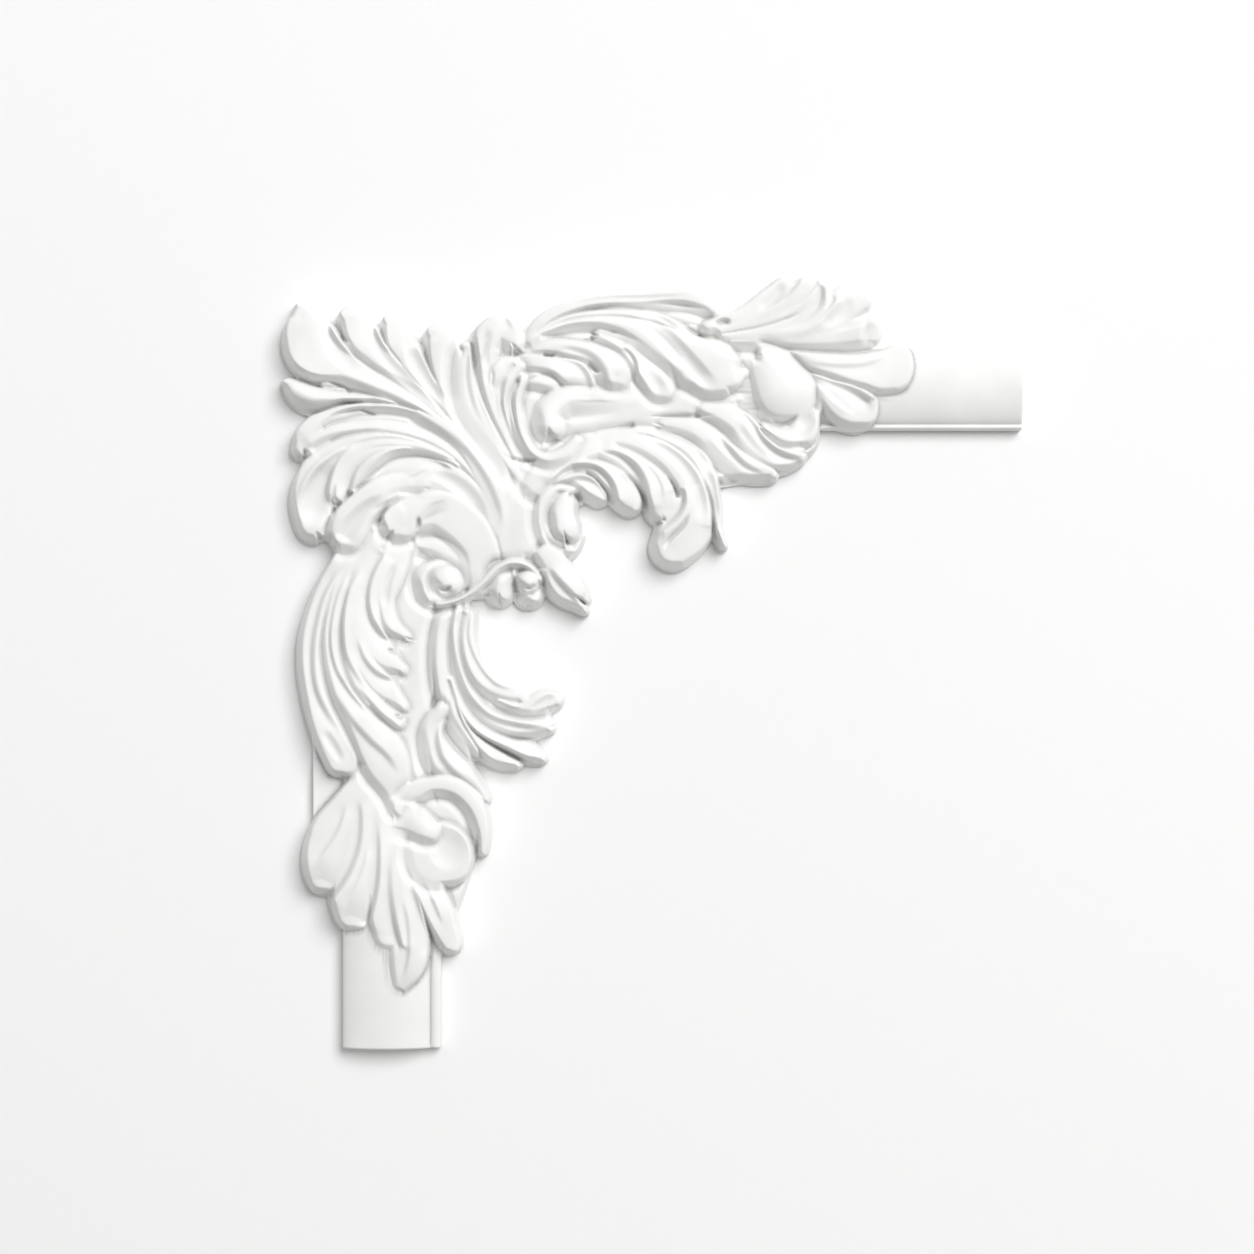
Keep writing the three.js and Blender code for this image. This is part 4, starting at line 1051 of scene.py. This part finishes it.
    Leaf("foot_eye", (
        Lobe(((392, 815, 20, 36), (412, 819, 19, 38), (428, 829, 15, 41)), fall=0.15, root=0.7),
    ), creases=(
        Crease(((408, 836, 3, 3), (417, 847, 5, 6), (430, 853, 5, 7), (443, 845, 4, 4)), spread=6, root=0.1, tip=0.1),
    )),
    Leaf("scroll_inner", (
        Lobe(((418, 548, 9, 26), (440, 553, 14, 29), (455, 570, 16, 32), (456, 588, 12, 34)), fall=0.1, root=0.1),
    ), creases=(
        Crease(((398, 550, 4, 2), (412, 550, 5, 4), (424, 552, 5, 4), (432, 559, 4, 2)), spread=6, root=0.1, tip=0.1),
    ), edge=8.0),
    Leaf("scroll_cover", (
        Lobe(((404, 512, 18, 35), (418, 515, 20, 35), (440, 514, 22, 36), (462, 527, 23, 36), (479, 550, 21, 36),
            (481, 572, 19, 35), (477, 588, 12, 33)), fall=0.02),
    ), press=0.0),
    Leaf("barrels", (
        Lobe(((500, 572, 13, 33), (500, 594, 15, 32)), fall=0.25),
        Lobe(((529, 580, 14, 33), (529, 595, 16, 31)), fall=0.2),
    ), creases=(
        Crease(((515, 582, 3, 3), (515, 598, 4, 4), (515, 612, 4, 4)), spread=6),
    ), edge=8.0),
    Leaf("bud", (
        Lobe(((548, 560, 15, 35), (562, 577, 17, 37), (575, 591, 14, 35), (584, 600, 8, 33))),
        Lobe(((550, 573, 14, 34), (562, 592, 15, 33), (577, 604, 10, 31), (584, 612, 6, 29))),
    ), creases=(
        Crease(((550, 568, 4, 2), (558, 579, 7, 5), (570, 592, 8, 7), (580, 603, 6, 7)), root=0.15, tip=0.1),
    )),
    Leaf("spoon", (
        Lobe(((420, 490, 14, 36), (392, 492, 17, 37), (365, 511, 19, 37), (350, 530, 21, 37),
            (347, 536, 20, 36)), root=0.5),
        Lobe(((452, 500, 12, 36), (430, 503, 14, 37), (412, 512, 17, 38), (400, 526, 20, 37)), root=0.5),
    ), creases=(
        Crease(((405, 501, 3, 3), (390, 510, 6, 9), (381, 526, 7, 13), (377, 548, 6, 13)), spread=8, root=0.1),
        Crease(((372, 514, 3, 2), (392, 502, 4, 3), (415, 498, 3, 2), (434, 500, 2, 1)), spread=7, tip=0.25),
    ), flutes=(
        Flute(((390, 497, 5, 1.5), (368, 511, 8, 3.5), (352, 530, 10, 4.5), (345, 543, 8, 3)), tip=0.05),
        Flute(((421, 517, 2, 3), (421, 527, 3.5, 9), (423, 538, 4, 10)), tip=0.0),
    )),
    Leaf("scroll", (
        Lobe(((438, 586, 26, 33),), fall=0.12),
    ), creases=(
        Crease(((433, 602, 3, 3), (429, 590, 5, 5), (429, 577, 5, 4),
            (437, 566, 4, 2)), spread=7, root=0.05, tip=0.2),
        Crease(((463, 598, 4, 2), (450, 601, 5, 3), (439, 596, 5, 3),
            (434, 586, 4, 2)), spread=6, root=0.15, tip=0.25),
    ), edge=8.0),
    Leaf("scroll_eye", (
        Lobe(((448, 583, 17, 38),), fall=0.18),
    ), flutes=(
        Flute(((440, 588, 2, 3), (446, 591, 3, 7), (454, 586, 2, 4))),
    ), edge=8.0),
    Leaf("tendril", (
        Lobe(((440, 606, 4, 33), (465, 599, 5, 35), (483, 585, 5, 36), (500, 569, 6, 37), (516, 564, 6, 38),
            (530, 569, 6, 38), (538, 580, 6, 37)), fall=0.2),
    ), edge=4.0),
    Leaf("tendril_eye", (
        Lobe(((528, 583, 13, 38),), fall=0.2),
    ), flutes=(
        Flute(((523, 586, 2, 3), (530, 589, 3, 5), (538, 584, 2, 3))),
    ), edge=7.0),
)


def linear(hex_colour: str) -> tuple[float, float, float, float]:
    """Turns an sRGB hex colour into linear RGBA.

    Args:
        hex_colour: six hex digits.

    Returns:
        Red, green, blue and full alpha.
    """
    parts = [int(hex_colour[i : i + 2], 16) / 255.0 for i in (0, 2, 4)]
    return (*(p / 12.92 if p <= 0.04045 else ((p + 0.055) / 1.055) ** 2.4 for p in parts), 1.0)


def add_node(
    tree: bpy.types.NodeTree,
    kind: str,
    values: dict[str, object] | None = None,
    links: dict[str, bpy.types.NodeSocket] | None = None,
    **settings: object,
) -> bpy.types.Node:
    """Adds one shader node.

    Args:
        tree: the node tree.
        kind: the node's type name.
        values: input values by socket name or number.
        links: sockets that feed the named inputs.
        settings: the node's own properties.

    Returns:
        The node.
    """
    node = tree.nodes.new(kind)
    for name, value in settings.items():
        setattr(node, name, value)
    for name, value in (values or {}).items():
        node.inputs[name].default_value = value
    for name, source in (links or {}).items():
        tree.links.new(source, node.inputs[name])
    return node


@dataclass(frozen=True)
class PrimedPolyurethane:
    """High-density polyurethane cast in a rubber mould and sprayed with matt white primer.

    The eye gets a soft eggshell white: a broad dull highlight, a fine spray stipple and a random grey mottle. The
    hollows and creases are painted a touch greyer, which is painted shade.
    """

    white: str = "F6F6F5"
    # hollow is the grey that both the painted shade in the hollows and the random mottle mix towards.
    hollow: str = "D4D4D2"
    roughness: float = 0.52
    stipple_mm: float = 0.9
    mottle_mm: float = 24.0
    stipple_height_mm: float = 0.035

    def material(self) -> bpy.types.Material:
        """Builds the material.

        Returns:
            A node material for the casting.
        """
        material = bpy.data.materials.new("primed_polyurethane")
        material.use_nodes = True
        tree = material.node_tree
        tree.nodes.clear()
        place = add_node(tree, "ShaderNodeTexCoord").outputs["Object"]
        mottle = add_node(
            tree,
            "ShaderNodeTexNoise",
            {"Scale": 1.0 / (self.mottle_mm * MM), "Detail": 3.0, "Roughness": 0.55},
            {"Vector": place},
        )
        stipple = add_node(
            tree,
            "ShaderNodeTexNoise",
            {"Scale": 1.0 / (self.stipple_mm * MM), "Detail": 2.0, "Roughness": 0.5},
            {"Vector": place},
        )
        bump = add_node(
            tree,
            "ShaderNodeBump",
            {"Strength": 0.35, "Distance": self.stipple_height_mm * MM},
            {"Height": stipple.outputs["Fac"]},
        )
        # Painted shade: the crease-shade attribute greys the white in creases and hollows. The mottle added to it is
        # the primer's own random tone.
        painted_crease_shade = add_node(tree, "ShaderNodeAttribute", attribute_name=CREASE_SHADE)
        patchy = add_node(
            tree,
            "ShaderNodeMapRange",
            {"From Min": 0.3, "From Max": 0.7, "To Min": 0.0, "To Max": 0.22},
            {"Value": mottle.outputs["Fac"]},
        )
        share = add_node(
            tree,
            "ShaderNodeMath",
            {},
            {0: painted_crease_shade.outputs["Fac"], 1: patchy.outputs[0]},
            operation="ADD",
            use_clamp=True,
        )
        colour = add_node(
            tree,
            "ShaderNodeMix",
            {"A": linear(self.white), "B": linear(self.hollow)},
            {"Factor": share.outputs[0]},
            data_type="RGBA",
        )
        rough = add_node(
            tree,
            "ShaderNodeMapRange",
            {"From Min": 0.3, "From Max": 0.7, "To Min": self.roughness - 0.05, "To Max": self.roughness + 0.07},
            {"Value": mottle.outputs["Fac"]},
        )
        shader = add_node(
            tree,
            "ShaderNodeBsdfPrincipled",
            {"IOR": 1.5, "Specular IOR Level": 0.4},
            {
                "Base Color": next(o for o in colour.outputs if o.type == "RGBA"),
                "Roughness": rough.outputs[0],
                "Normal": bump.outputs[0],
            },
        )
        add_node(tree, "ShaderNodeOutputMaterial", {}, {"Surface": shader.outputs[0]})
        return material


@dataclass(frozen=True)
class MattPaint:
    """Flat wall paint on smooth plaster, which gives an even, shadow-catching white with no shine."""

    white: str = "FBFBFB"
    roughness: float = 0.95

    def material(self, name: str) -> bpy.types.Material:
        """Builds the material.

        Args:
            name: the material's name.

        Returns:
            A node material for a stage plane.
        """
        material = bpy.data.materials.new(name)
        material.use_nodes = True
        shader = material.node_tree.nodes["Principled BSDF"]
        shader.inputs["Base Color"].default_value = linear(self.white)
        shader.inputs["Roughness"].default_value = self.roughness
        shader.inputs["Specular IOR Level"].default_value = 0.1
        return material


@dataclass
class Studio:
    """A pale wall and floor, soft light from the upper right and the camera square on to the wall."""

    camera_x: float = 0.117
    camera_z: float = -0.119
    camera_off_wall: float = 1.48
    lens_mm: float = 85.0
    sensor_mm: float = 36.0
    wall_gap: float = 0.0006
    wall_side: float = 2.5
    floor_z: float = -0.75
    floor_front: float = -3.0
    floor_back: float = 0.5
    key_at: tuple[float, float, float] = (2.4, -4.8, 2.4)
    key_size: float = 3.2
    key_watts: float = 262.0
    sky_strength: float = 0.48

    def plane(self, name: str, corners: list[tuple[float, float, float]], paint: MattPaint) -> None:
        """Adds one stage plane.

        Args:
            name: the object's name.
            corners: its four corners, counter-clockwise from the front.
            paint: its finish.
        """
        mesh = bpy.data.meshes.new(name)
        mesh.from_pydata(corners, [], [(0, 1, 2, 3)])
        mesh.materials.append(paint.material(name + "_paint"))
        plane = bpy.data.objects.new(name, mesh)
        bpy.context.scene.collection.objects.link(plane)

    def light(self, name: str, at: Vector, aim: Vector, size: float, watts: float) -> None:
        """Adds one soft square light.

        Args:
            name: the light's name.
            at: where it stands.
            aim: the point it faces.
            size: its side in metres.
            watts: its power.
        """
        data = bpy.data.lights.new(name, "AREA")
        data.size = size
        data.energy = watts
        lamp = bpy.data.objects.new(name, data)
        lamp.location = at
        lamp.rotation_euler = (aim - at).to_track_quat("-Z", "Y").to_euler()
        bpy.context.scene.collection.objects.link(lamp)

    def build(self) -> None:
        """Puts up the wall, the floor, the lights, the sky and the camera."""
        scene = bpy.context.scene
        gap, low, side = self.wall_gap, self.floor_z, self.wall_side
        front, back = self.floor_front, self.floor_back
        wall = [(-side, gap, low), (side, gap, low), (side, gap, side), (-side, gap, side)]
        floor = [(-side, front, low), (side, front, low), (side, back, low), (-side, back, low)]
        self.plane("wall", wall, MattPaint())
        self.plane("floor", floor, MattPaint("8C8C8A"))
        aim = Vector((self.camera_x, 0.0, self.camera_z))
        self.light("key", Vector(self.key_at), aim, self.key_size, self.key_watts)
        world = bpy.data.worlds.new("soft_white")
        scene.world = world
        world.use_nodes = True
        background = world.node_tree.nodes["Background"]
        background.inputs["Color"].default_value = linear("FFFFFF")
        background.inputs["Strength"].default_value = self.sky_strength
        data = bpy.data.cameras.new("camera")
        data.lens = self.lens_mm
        data.sensor_width = self.sensor_mm
        camera = bpy.data.objects.new("camera", data)
        camera.location = (self.camera_x, -self.camera_off_wall, self.camera_z)
        camera.rotation_euler = (np.radians(90.0), 0.0, 0.0)
        scene.collection.objects.link(camera)
        scene.camera = camera
        scene.view_settings.view_transform = "Standard"


def main() -> None:
    logging.basicConfig(level=logging.INFO, format="%(name)s %(message)s")
    casting = Casting(Sheet(), RAILS, BACKINGS, LEAVES)
    piece = casting.build()
    piece.data.materials.clear()
    piece.data.materials.append(PrimedPolyurethane().material())
    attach(piece, BODY)
    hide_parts(NODE)
    Studio().build()
    LOG.info("studio built")


if __name__ == "__main__":
    main()
